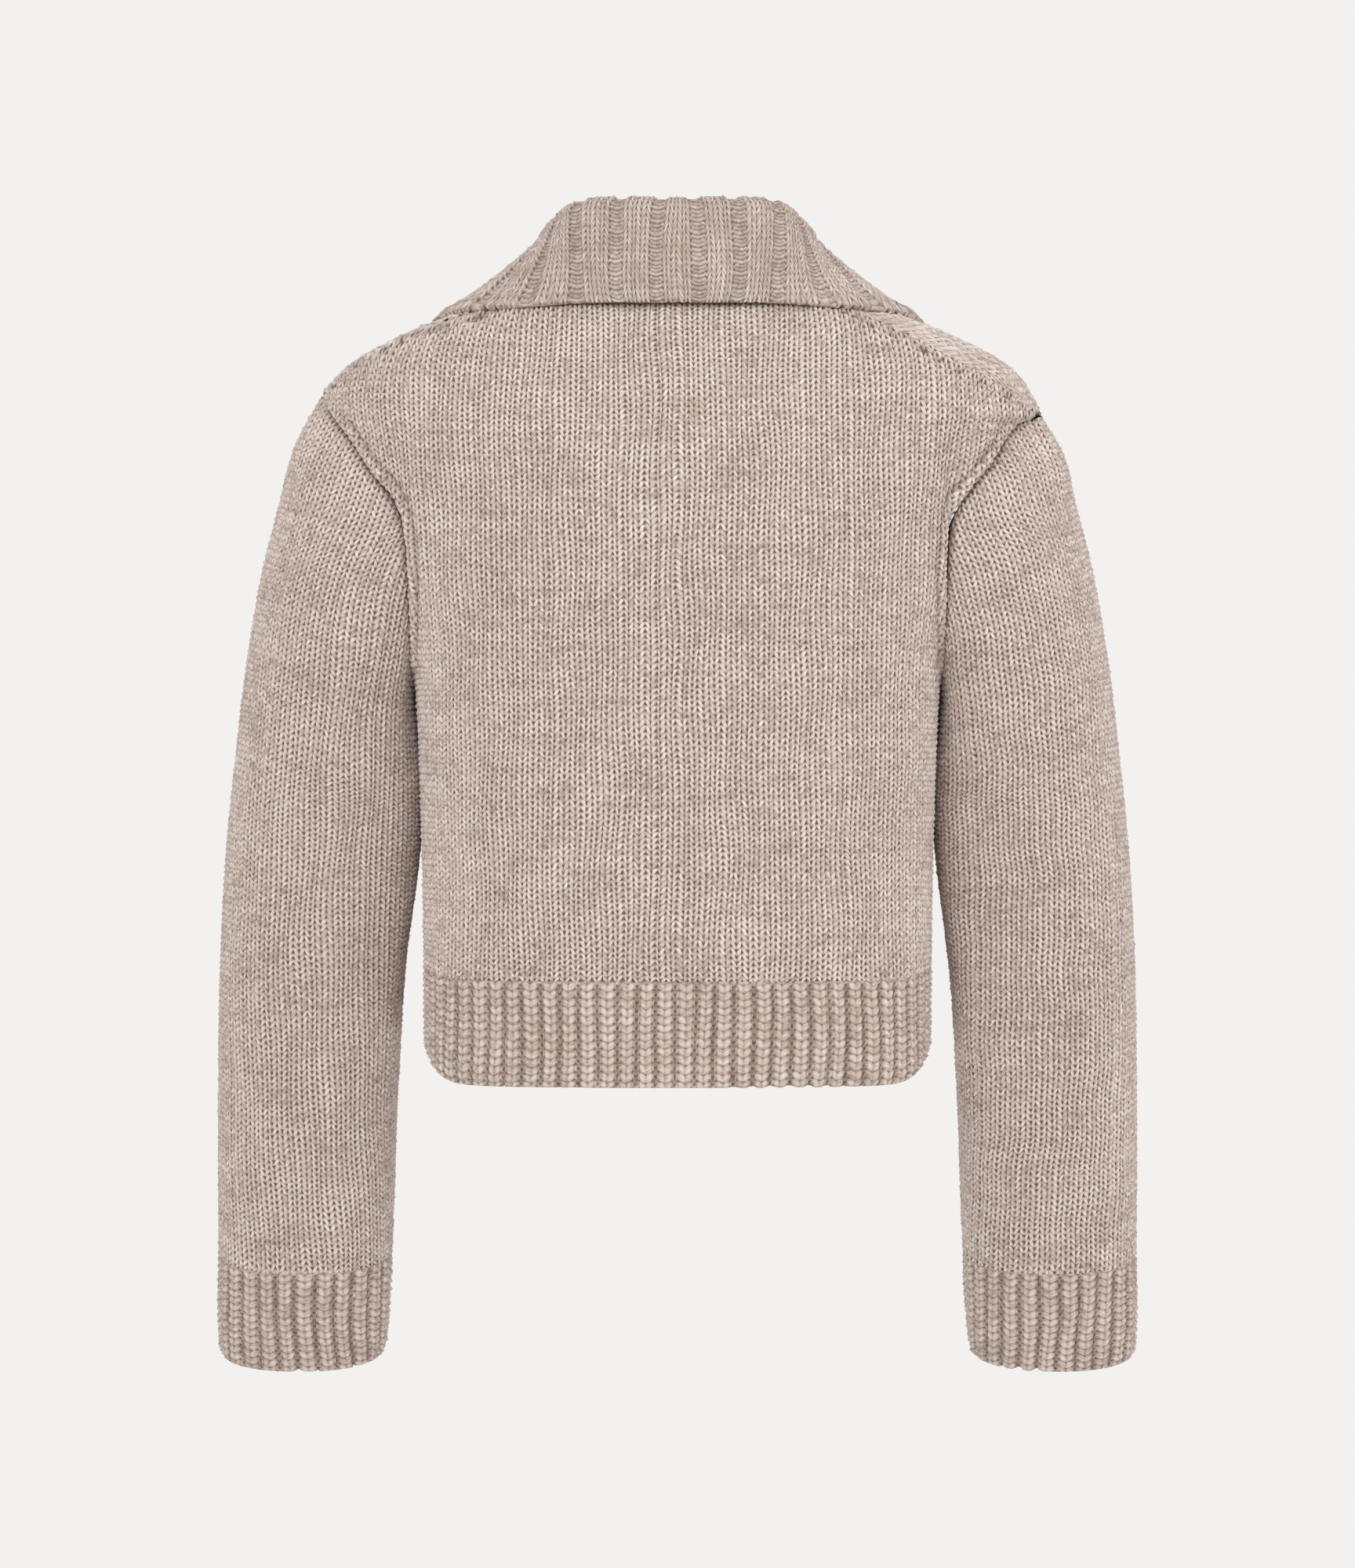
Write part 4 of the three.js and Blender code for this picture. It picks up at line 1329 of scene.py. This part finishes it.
@dataclass(frozen=True)
class Cotton:
    """Twisted cotton sewing thread in taupe, matt, with a fine diagonal twist."""

    name: str = "cotton_thread"
    colour: str = "9A8577"

    def make(self) -> bpy.types.Material:
        """Builds the material with the twist as bump."""
        surface = Surface(self.name)
        inputs = {"Vector": surface.place(), "Scale": 900.0, "Distortion": 1.0}
        twist = add_node(surface.tree, "ShaderNodeTexWave", inputs, bands_direction="DIAGONAL")
        normal = surface.bump(twist.outputs["Fac"], 0.0001, 0.6)
        return surface.finished(
            {"Base Color": linear(self.colour), "Normal": normal, "Roughness": 0.9}
        )


@dataclass(frozen=True)
class Paper:
    """Seamless white background paper, matt and even."""

    name: str = "background_paper"
    colour: str = "ECEBEA"

    def make(self) -> bpy.types.Material:
        """Builds the material, with a faint grain so that it isn't dead flat."""
        surface = Surface(self.name)
        normal = surface.bump(surface.noise(surface.place(), 400.0, 2.0), 0.0001, 0.2)
        return surface.finished(
            {"Base Color": linear(self.colour), "Normal": normal, "Roughness": 0.9}
        )


# ------------------------------------------------------------------ the garment
STOCKINETTE = stockinette(wale=6.0, row=3.4, relief=1.3)
FRONT_STITCH = stockinette(wale=6.0, row=3.4, relief=1.0)
SLEEVE_STITCH = stockinette(wale=6.15, row=3.5, relief=1.3)
HEM_RIB = single_rib(pitch=10.8, row=4.4, relief=1.2, depth=2.3)
CUFF_RIB = single_rib(pitch=11.4, row=4.3, relief=1.2, depth=2.3)
COLLAR_RIB = wide_rib(wale=5.2, ladder=8.0, row=3.5, relief=0.9, depth=1.3)
BAND_RIB = single_rib(pitch=10.4, row=4.2, relief=1.0, depth=1.7)
ROLL = Welt(Edge.BOTTOM, 0, 4.0, -1.4)  # the cast-on edge of a rib, which rolls in


def straight(low: float, high: float) -> Sides:
    """Edges that keep to one turn each, all the way down a piece."""

    def sides(level: Array) -> tuple[Array, Array]:
        return np.full(level.shape, low), np.full(level.shape, high)

    return sides


@dataclass
class Body:
    """The back and the two fronts with their hem ribs."""

    torso: Torso
    panel: bpy.types.Material
    rib: bpy.types.Material
    folds: tuple[Fold, ...] = ()

    BACK_TURNS = (112.0, -112.0)  # farther than the back reaches
    FRONT_TURNS = (180.0, 45.0)  # from the middle to farther than a front reaches
    FRONT_WALE = 150.0  # turn of the wale from which a front is measured
    # inset, width, height, chain and painted shade of the lines along the shoulder's seam
    SHOULDER = ((2.5, 5.0, 1.3, 5.0, 0.0), (7.5, 4.0, 1.0, 5.0, 0.0), (5.2, 2.6, -0.6, 5.0, 1.0))
    SHOULDER_SPAN = (-20.0, 4.0)  # it starts before the neck and ends past the shoulder tip
    # the armhole's turned edge and the line inside it: inset, width and height, how far past
    # the shoulder tip it starts and past the underarm it ends, and painted shade
    ARMHOLE = (((3.8, 6.0, 2.2), (-4, 8), 0.0), ((8.6, 2.6, -0.9), (6, 0), 0.45))

    def _seam(self, side: Side, name: str) -> Callable[[Array], Array]:
        """A panel's outer edge: the shoulder seam, then the armhole and the side seam."""

        def angle(level: Array) -> Array:
            shoulder = self.torso.bound(level, side, "bound_back")
            return side * np.where(level <= TIP, shoulder, self.torso.bound(level, side, name))

        return angle

    def _front_sides(self, side: Side, rows: Courses) -> Sides:
        """A front's edges: at the band, then at the side seam or over the shoulder."""
        start = UNDER_BAND[1] if side > 0 else UPPER_BAND[0]
        seam = self._seam(side, "bound_front")

        def sides(row: Array) -> tuple[Array, Array]:
            level = rows.level(row, self.torso.front_angle(row, start))
            return self.torso.front_angle(level, start), rows.end(row, seam)

        return sides

    def _back_welts(self, edge: Edge, tip: float, underarm: float) -> list[Welt]:
        """The lines along one edge of the back, above and below the shoulder tip."""
        start, past = self.SHOULDER_SPAN
        lines = [
            Welt(edge, inset, width, height, chain, (start, tip + past), dark)
            for inset, width, height, chain, dark in self.SHOULDER
        ]
        return lines + [
            Welt(edge, *shape, span=(tip + first, underarm + last), dark=dark)
            for shape, (first, last), dark in self.ARMHOLE
        ]

    def _pair(
        self,
        name: str,
        measure: Callable[[tuple[float, float]], Chart],
        sides: Sides,
        stitch: Stitch,
        seeds: tuple[int, int],
        welts: Sequence[Welt] = (),
    ) -> None:
        """Makes a panel and the hem rib under it.

        Args:
            name: The panel's solid.
            measure: Charts the face between two levels.
            sides: The edges of both pieces.
            stitch: How the panel is knitted.
            seeds: Seeds of the panel and of the rib.
            welts: Lines along the panel's edges.
        """
        KnitPiece(
            f"knit_{name}", name, measure((0, RIB_TOP)), sides, stitch, WALL, "panel_knit",
            self.panel, welts=tuple(welts), folds=self.folds, seed=seeds[0],
        ).build()
        KnitPiece(
            f"rib_hem_{name}", f"hem_{name}", measure((RIB_TOP, HEM)), sides, HEM_RIB, RIB_WALL,
            "rib_knit", self.rib, welts=(ROLL,), folds=self.folds, seed=seeds[1],
        ).build()

    def build(self) -> None:
        """Makes the six pieces."""
        rows = Courses(self.torso, 0)
        seams = [self._seam(side, "bound_back") for side in (1, -1)]
        measure = partial(Chart, rows.point, turns=self.BACK_TURNS, start=0, outward=-1)

        def back_sides(row: Array) -> tuple[Array, Array]:
            return rows.end(row, seams[0]), rows.end(row, seams[1])

        chart = measure((0, RIB_TOP))
        rings = np.array([TIP, UNDERARM], float)
        welts = []
        for edge, seam in zip((Edge.LEFT, Edge.RIGHT), seams):
            ends = np.interp(rows.row(rings, seam(rings)), chart.levels, chart.down)
            welts += self._back_welts(edge, *ends)
        self._pair("back", measure, back_sides, STOCKINETTE, (11, 12), welts)
        for side, name, seeds in ((1, "front_left", (14, 17)), (-1, "front_right", (12, 15))):
            courses = Courses(self.torso, side * 180)
            turns = tuple(side * turn for turn in self.FRONT_TURNS)
            start = side * self.FRONT_WALE
            measure = partial(Chart, courses.point, turns=turns, start=start, outward=-side)
            self._pair(name, measure, self._front_sides(side, courses), FRONT_STITCH, seeds)


@dataclass
class Arm:
    """One sleeve and its cuff."""

    torso: Torso
    side: Side
    panel: bpy.types.Material
    rib: bpy.types.Material
    start: float = 4.0  # turn of the wale that runs down from the shoulder tip

    CAPS = 2  # rows of the sleeve above its first section
    TURNS = (-190.0, 190.0)  # a little farther than all the way round
    SEAM = (0.0, 5.0, -0.8)  # inset, width and height of the line along the armhole

    def build(self) -> None:
        """Makes the sleeve and the cuff."""
        side = "left" if self.side > 0 else "right"
        sleeve = Sleeve(self.torso, self.side)
        folds = creases(sleeve.point, SLEEVE_FOLDS[self.side])
        # the line along the armhole gets painted shade
        seams = tuple(
            Welt(edge, *self.SEAM, span=(0, 190), dark=0.6) for edge in (Edge.LEFT, Edge.RIGHT)
        )
        top, end = CUFF_TOP + self.CAPS, CUFF_END + self.CAPS
        tube = Chart(sleeve.knit_point, (0, top), self.TURNS, self.start, -self.side)
        cuff = Chart(sleeve.point, (top, end), self.TURNS, self.start, -self.side)
        KnitPiece(
            f"knit_sleeve_{side}", f"sleeve_{side}", tube, sleeve.ends, SLEEVE_STITCH, WALL,
            "panel_knit", self.panel, welts=seams, folds=folds, seed=21 + self.side,
        ).build()
        KnitPiece(
            f"rib_cuff_{side}", f"cuff_{side}", cuff, straight(-180.0, 180.0), CUFF_RIB,
            RIB_WALL, "rib_knit", self.rib, welts=(ROLL,), folds=folds, seed=24 + self.side,
        ).build()


@dataclass
class WideCollar:
    """The folded rib collar, from its stand at the neck over the fold to its outer edge."""

    torso: Torso
    knit: bpy.types.Material

    ENDS = (7.0, -7.0)  # stations of its two front ends, the last row of COLLAR_ROWS
    TRUE_WIDTH = 0.6  # share of a line at which the wales have their true width

    def build(self) -> None:
        """Makes the collar."""
        chart = Chart(Collar(self.torso).point, (0, 1), self.ENDS, 0, -1, fan=self.TRUE_WIDTH)
        welts = (
            Welt(Edge.BOTTOM, 2.6, 5.0, 1.6, chain=5.5),
            Welt(Edge.LEFT, 3.0, 5.0, 1.2),
            Welt(Edge.RIGHT, 3.0, 5.0, 1.2),
        )
        KnitPiece(
            "rib_collar", "collar", chart, straight(*self.ENDS), COLLAR_RIB, COLLAR_WALL,
            "collar_knit", self.knit, held="folded", welts=welts, seed=31,
        ).build()


@dataclass(frozen=True)
class Button:
    """A four-hole button with a raised rim, sewn on with two pairs of thread.

    It is made lying on the XY plane, then turned to its place on the band.
    """

    radius: float = 11.0
    thick: float = 4.0
    rim: float = 0.8
    hole: float = 1.0
    spread: float = 1.9  # of the holes from the middle, along both axes
    shank: float = 1.1
    thread: float = 0.45
    bow: float = 0.45  # rise of a thread's arc, as a share of half its length
    sunk: float = 0.15  # how deep a thread's ends lie in the holes
    steps: int = 72

    SHARP = math.radians(40)  # angle above which an edge isn't smoothed

    def _disc(self) -> bpy.types.Mesh:
        """Turns the button's profile round its axis."""
        r, top, low = self.radius, self.thick, self.thick - self.rim
        profile = [
            (0, 0.1), (r - 2, 0.1), (r - 0.8, 0.45), (r - 0.1, 1.2), (r, 2), (r - 0.15, top - 0.8),
            (r - 0.7, top - 0.2), (r - 1.5, top), (r - 2.3, top - 0.15), (r - 3.1, low + 0.25),
            (r - 4, low), (0, low),
        ]
        bm = bmesh.new()
        verts = [bm.verts.new((x, 0, z)) for x, z in profile]
        edges = [bm.edges.new(pair) for pair in zip(verts, verts[1:])]
        bmesh.ops.spin(
            bm, geom=verts + edges, axis=(0, 0, 1), steps=self.steps, angle=2 * math.pi
        )
        bmesh.ops.remove_doubles(bm, verts=bm.verts, dist=0.001)
        bmesh.ops.recalc_face_normals(bm, faces=bm.faces)
        return written(bm, "disc")

    def _drills(self) -> bpy.types.Mesh:
        """Four cylinders where the holes are."""
        bm = bmesh.new()
        for x in (-self.spread, self.spread):
            for y in (-self.spread, self.spread):
                bmesh.ops.create_cone(
                    bm, cap_ends=True, segments=24, radius1=self.hole, radius2=self.hole,
                    depth=3 * self.thick, matrix=Matrix.Translation((x, y, self.thick / 2)),
                )
        return written(bm, "drills")

    def _strands(self) -> bpy.types.Mesh:
        """Two pairs of thread over the button, and the thread under it that holds it."""
        bm = bmesh.new()
        end = Matrix.Translation((self.spread, 0, 0))
        for y in (-self.spread, self.spread):
            for aside in (-self.thread, self.thread):
                ring = bmesh.ops.create_circle(bm, segments=10, radius=self.thread, matrix=end)
                verts = ring["verts"]
                edges = list({edge for vert in verts for edge in vert.link_edges})
                bmesh.ops.spin(bm, geom=verts + edges, axis=(0, -1, 0), steps=14, angle=math.pi)
                for vert in bm.verts:
                    if not vert.tag:
                        vert.co.z = vert.co.z * self.bow + self.thick - self.rim - self.sunk
                        vert.co.y += y + aside
                        vert.tag = True
        foot = -(RIB_WALL + LIFT)
        bmesh.ops.create_cone(
            bm, cap_ends=True, segments=16, radius1=self.shank, radius2=self.shank * 0.8,
            depth=-foot, matrix=Matrix.Translation((0, 0, foot / 2)),
        )
        bmesh.ops.recalc_face_normals(bm, faces=bm.faces)
        return written(bm, "strands")

    def _pierced(self) -> bpy.types.Mesh:
        """The disc with its four holes cut out."""
        disc, drills = show("disc", self._disc()), show("drills", self._drills())
        cut = disc.modifiers.new("holes", "BOOLEAN")
        cut.operation, cut.object, cut.solver = "DIFFERENCE", drills, "EXACT"
        graph = bpy.context.evaluated_depsgraph_get()
        mesh = bpy.data.meshes.new_from_object(disc.evaluated_get(graph))
        for item in (disc, drills):
            bpy.data.objects.remove(item)
        return mesh

    def sew(
        self, number: int, place: Matrix, horn: bpy.types.Material, cotton: bpy.types.Material
    ) -> None:
        """Makes one button and its thread and puts them in their place."""
        scale = Matrix.Scale(MM, 4)
        for name, mesh, finish in (
            (f"horn_button_{number}", self._pierced(), horn),
            (f"button_thread_{number}", self._strands(), cotton),
        ):
            mesh.transform(scale @ place)
            mesh.materials.clear()
            mesh.materials.append(finish)
            mesh.shade_smooth()
            mesh.set_sharp_from_angle(angle=self.SHARP)
            piece = show(name, mesh)
            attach(piece, "root")
            if finish is horn:
                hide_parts(f"button_{number}")


@dataclass
class Front:
    """The two front bands and the buttons that hold them."""

    torso: Torso
    rib: bpy.types.Material
    horn: bpy.types.Material
    cotton: bpy.types.Material
    proud: float = 1.0  # of the upper band over the front's own face
    band_rows: int = 40  # equal lengths down the band, by which the buttons are placed
    button_rows: tuple[int, ...] = (2, 11, 20, 28, 37)

    FINE = 801  # samples down the band
    RAMP = (16.0, 22.5)  # where the lower band rises to the front beside the upper one

    def _buttons(self) -> None:
        """Sews the buttons on along the middle of the upper band."""
        fine = np.linspace(BAND_TOP, HEM, self.FINE)
        length = lengths_along(self.torso.point(fine, np.full(fine.shape, 180.0)))
        middle = sum(UPPER_BAND) / 2
        for number, row in enumerate(self.button_rows, start=1):
            level = np.interp([row / self.band_rows], length / length[-1], fine)
            angle = self.torso.front_angle(level, middle)
            point = Vector(self.torso.offset(level, angle, self.proud)[0])
            normal = Vector(self.torso.normal(level, angle)[0])
            turn = normal.to_track_quat("Z", "Y").to_matrix().to_4x4()
            Button().sew(number, Matrix.Translation(point) @ turn, self.horn, self.cotton)

    def _chart(self, columns: Sequence[tuple[float, float]], start: float) -> Chart:
        """A band's face, from each column's X and its height over the front's own face."""
        xs = np.array([x for x, _ in columns])
        heights = np.array([height for _, height in columns])

        def point(level: Array, x: Array) -> Array:
            level, x = paired(level, x)
            lift = np.interp(x, xs, heights)
            return self.torso.offset(level, self.torso.front_angle(level, x), lift)

        return Chart(point, (BAND_TOP, HEM), (xs[0], xs[-1]), start, -1)

    def build(self) -> None:
        """Makes the bands and the buttons."""
        under = self.proud - RIB_WALL - LIFT
        upper = [(x, self.proud) for x in UPPER_BAND]
        lower = list(zip((UNDER_BAND[0], *self.RAMP, UNDER_BAND[1]), (under, under, 0.0, 0.0)))
        for name, node, columns, start, ends in (
            ("rib_band_buttonhole", "band_buttonhole", upper, -1.0, UPPER_BAND),
            ("rib_band_button", "band_button", lower, 5.0, UNDER_BAND),
        ):
            KnitPiece(
                name, node, self._chart(columns, start), straight(*ends), BAND_RIB, RIB_WALL,
                "rib_knit", self.rib, seed=41,
            ).build()
        self._buttons()


class Studio:
    """The camera, the even light and the floor."""

    CAMERA = (0.0, 3.1, -0.27225)
    FRAME_HEIGHT = 0.9  # metres of height that the view takes in at the origin
    FLOOR, FLOOR_RADIUS = -0.95, 1.45
    FILL = 0.72  # strength of the even light, beside the lamps
    LAMP_SIZE = 1.4
    AIM = (0.0, 0.0, -0.28)  # the middle of the garment
    BACKDROP = "F2F1EF"
    LAMPS = (  # name, place and watts
        ("key", (0.4, 2.5, 0.95), 36.0),
        ("side", (-2.4, 1.0, 0.6), 14.0),
        ("front", (0.5, -2.5, 1.0), 30.0),
    )

    def build(self) -> None:
        """Makes the camera first, then the floor and the lights."""
        scene = bpy.context.scene
        data = bpy.data.cameras.new("camera")
        data.lens = data.sensor_width / 2 / (self.FRAME_HEIGHT / 2 / self.CAMERA[1])
        camera = show("camera", data)
        camera.location = self.CAMERA
        camera.rotation_euler = (math.pi / 2, 0, math.pi)
        scene.camera = camera
        scene.view_settings.view_transform = "Standard"
        world = bpy.data.worlds.new("even_light")
        world.use_nodes = True
        tree = world.node_tree
        seen = add_node(tree, "ShaderNodeLightPath").outputs["Is Camera Ray"]
        strength = add_node(
            tree, "ShaderNodeMapRange", {"Value": seen, "To Min": self.FILL, "To Max": 1.0}
        ).outputs[0]
        background = tree.nodes["Background"]
        background.inputs["Color"].default_value = linear(self.BACKDROP)
        tree.links.new(strength, background.inputs["Strength"])
        scene.world = world
        for lamp in self.LAMPS:
            self._light(*lamp)
        self._floor()

    def _light(self, name: str, place: tuple[float, float, float], watts: float) -> None:
        """Adds a soft square light that faces the middle of the garment."""
        data = bpy.data.lights.new(name, "AREA")
        data.size, data.energy = self.LAMP_SIZE, watts
        lamp = show(name, data)
        lamp.location = place
        x, y, z = np.array(self.AIM) - np.array(place)
        lamp.rotation_euler = (math.atan2(math.hypot(x, y), -z), 0, math.atan2(-x, y))

    def _floor(self) -> None:
        """Adds a round floor of background paper."""
        bm = bmesh.new()
        bmesh.ops.create_circle(bm, cap_ends=True, segments=96, radius=self.FLOOR_RADIUS)
        bmesh.ops.translate(bm, verts=bm.verts, vec=(0, 0, self.FLOOR))
        mesh = written(bm, "floor")
        mesh.materials.append(Paper().make())
        show("floor", mesh)


def main() -> None:
    """Builds the garment piece by piece and notes its size."""
    logging.basicConfig(level=logging.INFO)
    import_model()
    Studio().build()
    panel = MarledWool("marled_wool_stockinette", STOCKINETTE.slope).make()
    # the rib and collar wools are the same yarn with darker light and middle colours: painted
    # shade
    rib = MarledWool(
        "marled_wool_rib", HEM_RIB.slope, valley=0.14, below=0.5, pit=0.6, thin=0.5, lift=0.5,
        seam=0.7, ends=0.3, light="E8DAD1", middle="D6C4B9",
    ).make()
    collar = MarledWool(
        "marled_wool_collar_rib", COLLAR_RIB.slope, valley=0.24, below=0.16, pit=1.2, bars=1.46,
        bow=0.2, seam=0.4, ends=0.9, light="ECDFD7", middle="D5C3B9",
    ).make()
    torso = Torso()
    Body(torso, panel, rib, creases(torso.point, BODY_FOLDS)).build()
    for side in (1, -1):
        Arm(torso, side, panel, rib).build()
    WideCollar(torso, collar).build()
    Front(torso, rib, Horn().make(), Cotton().make()).build()


if __name__ == "__main__":
    main()
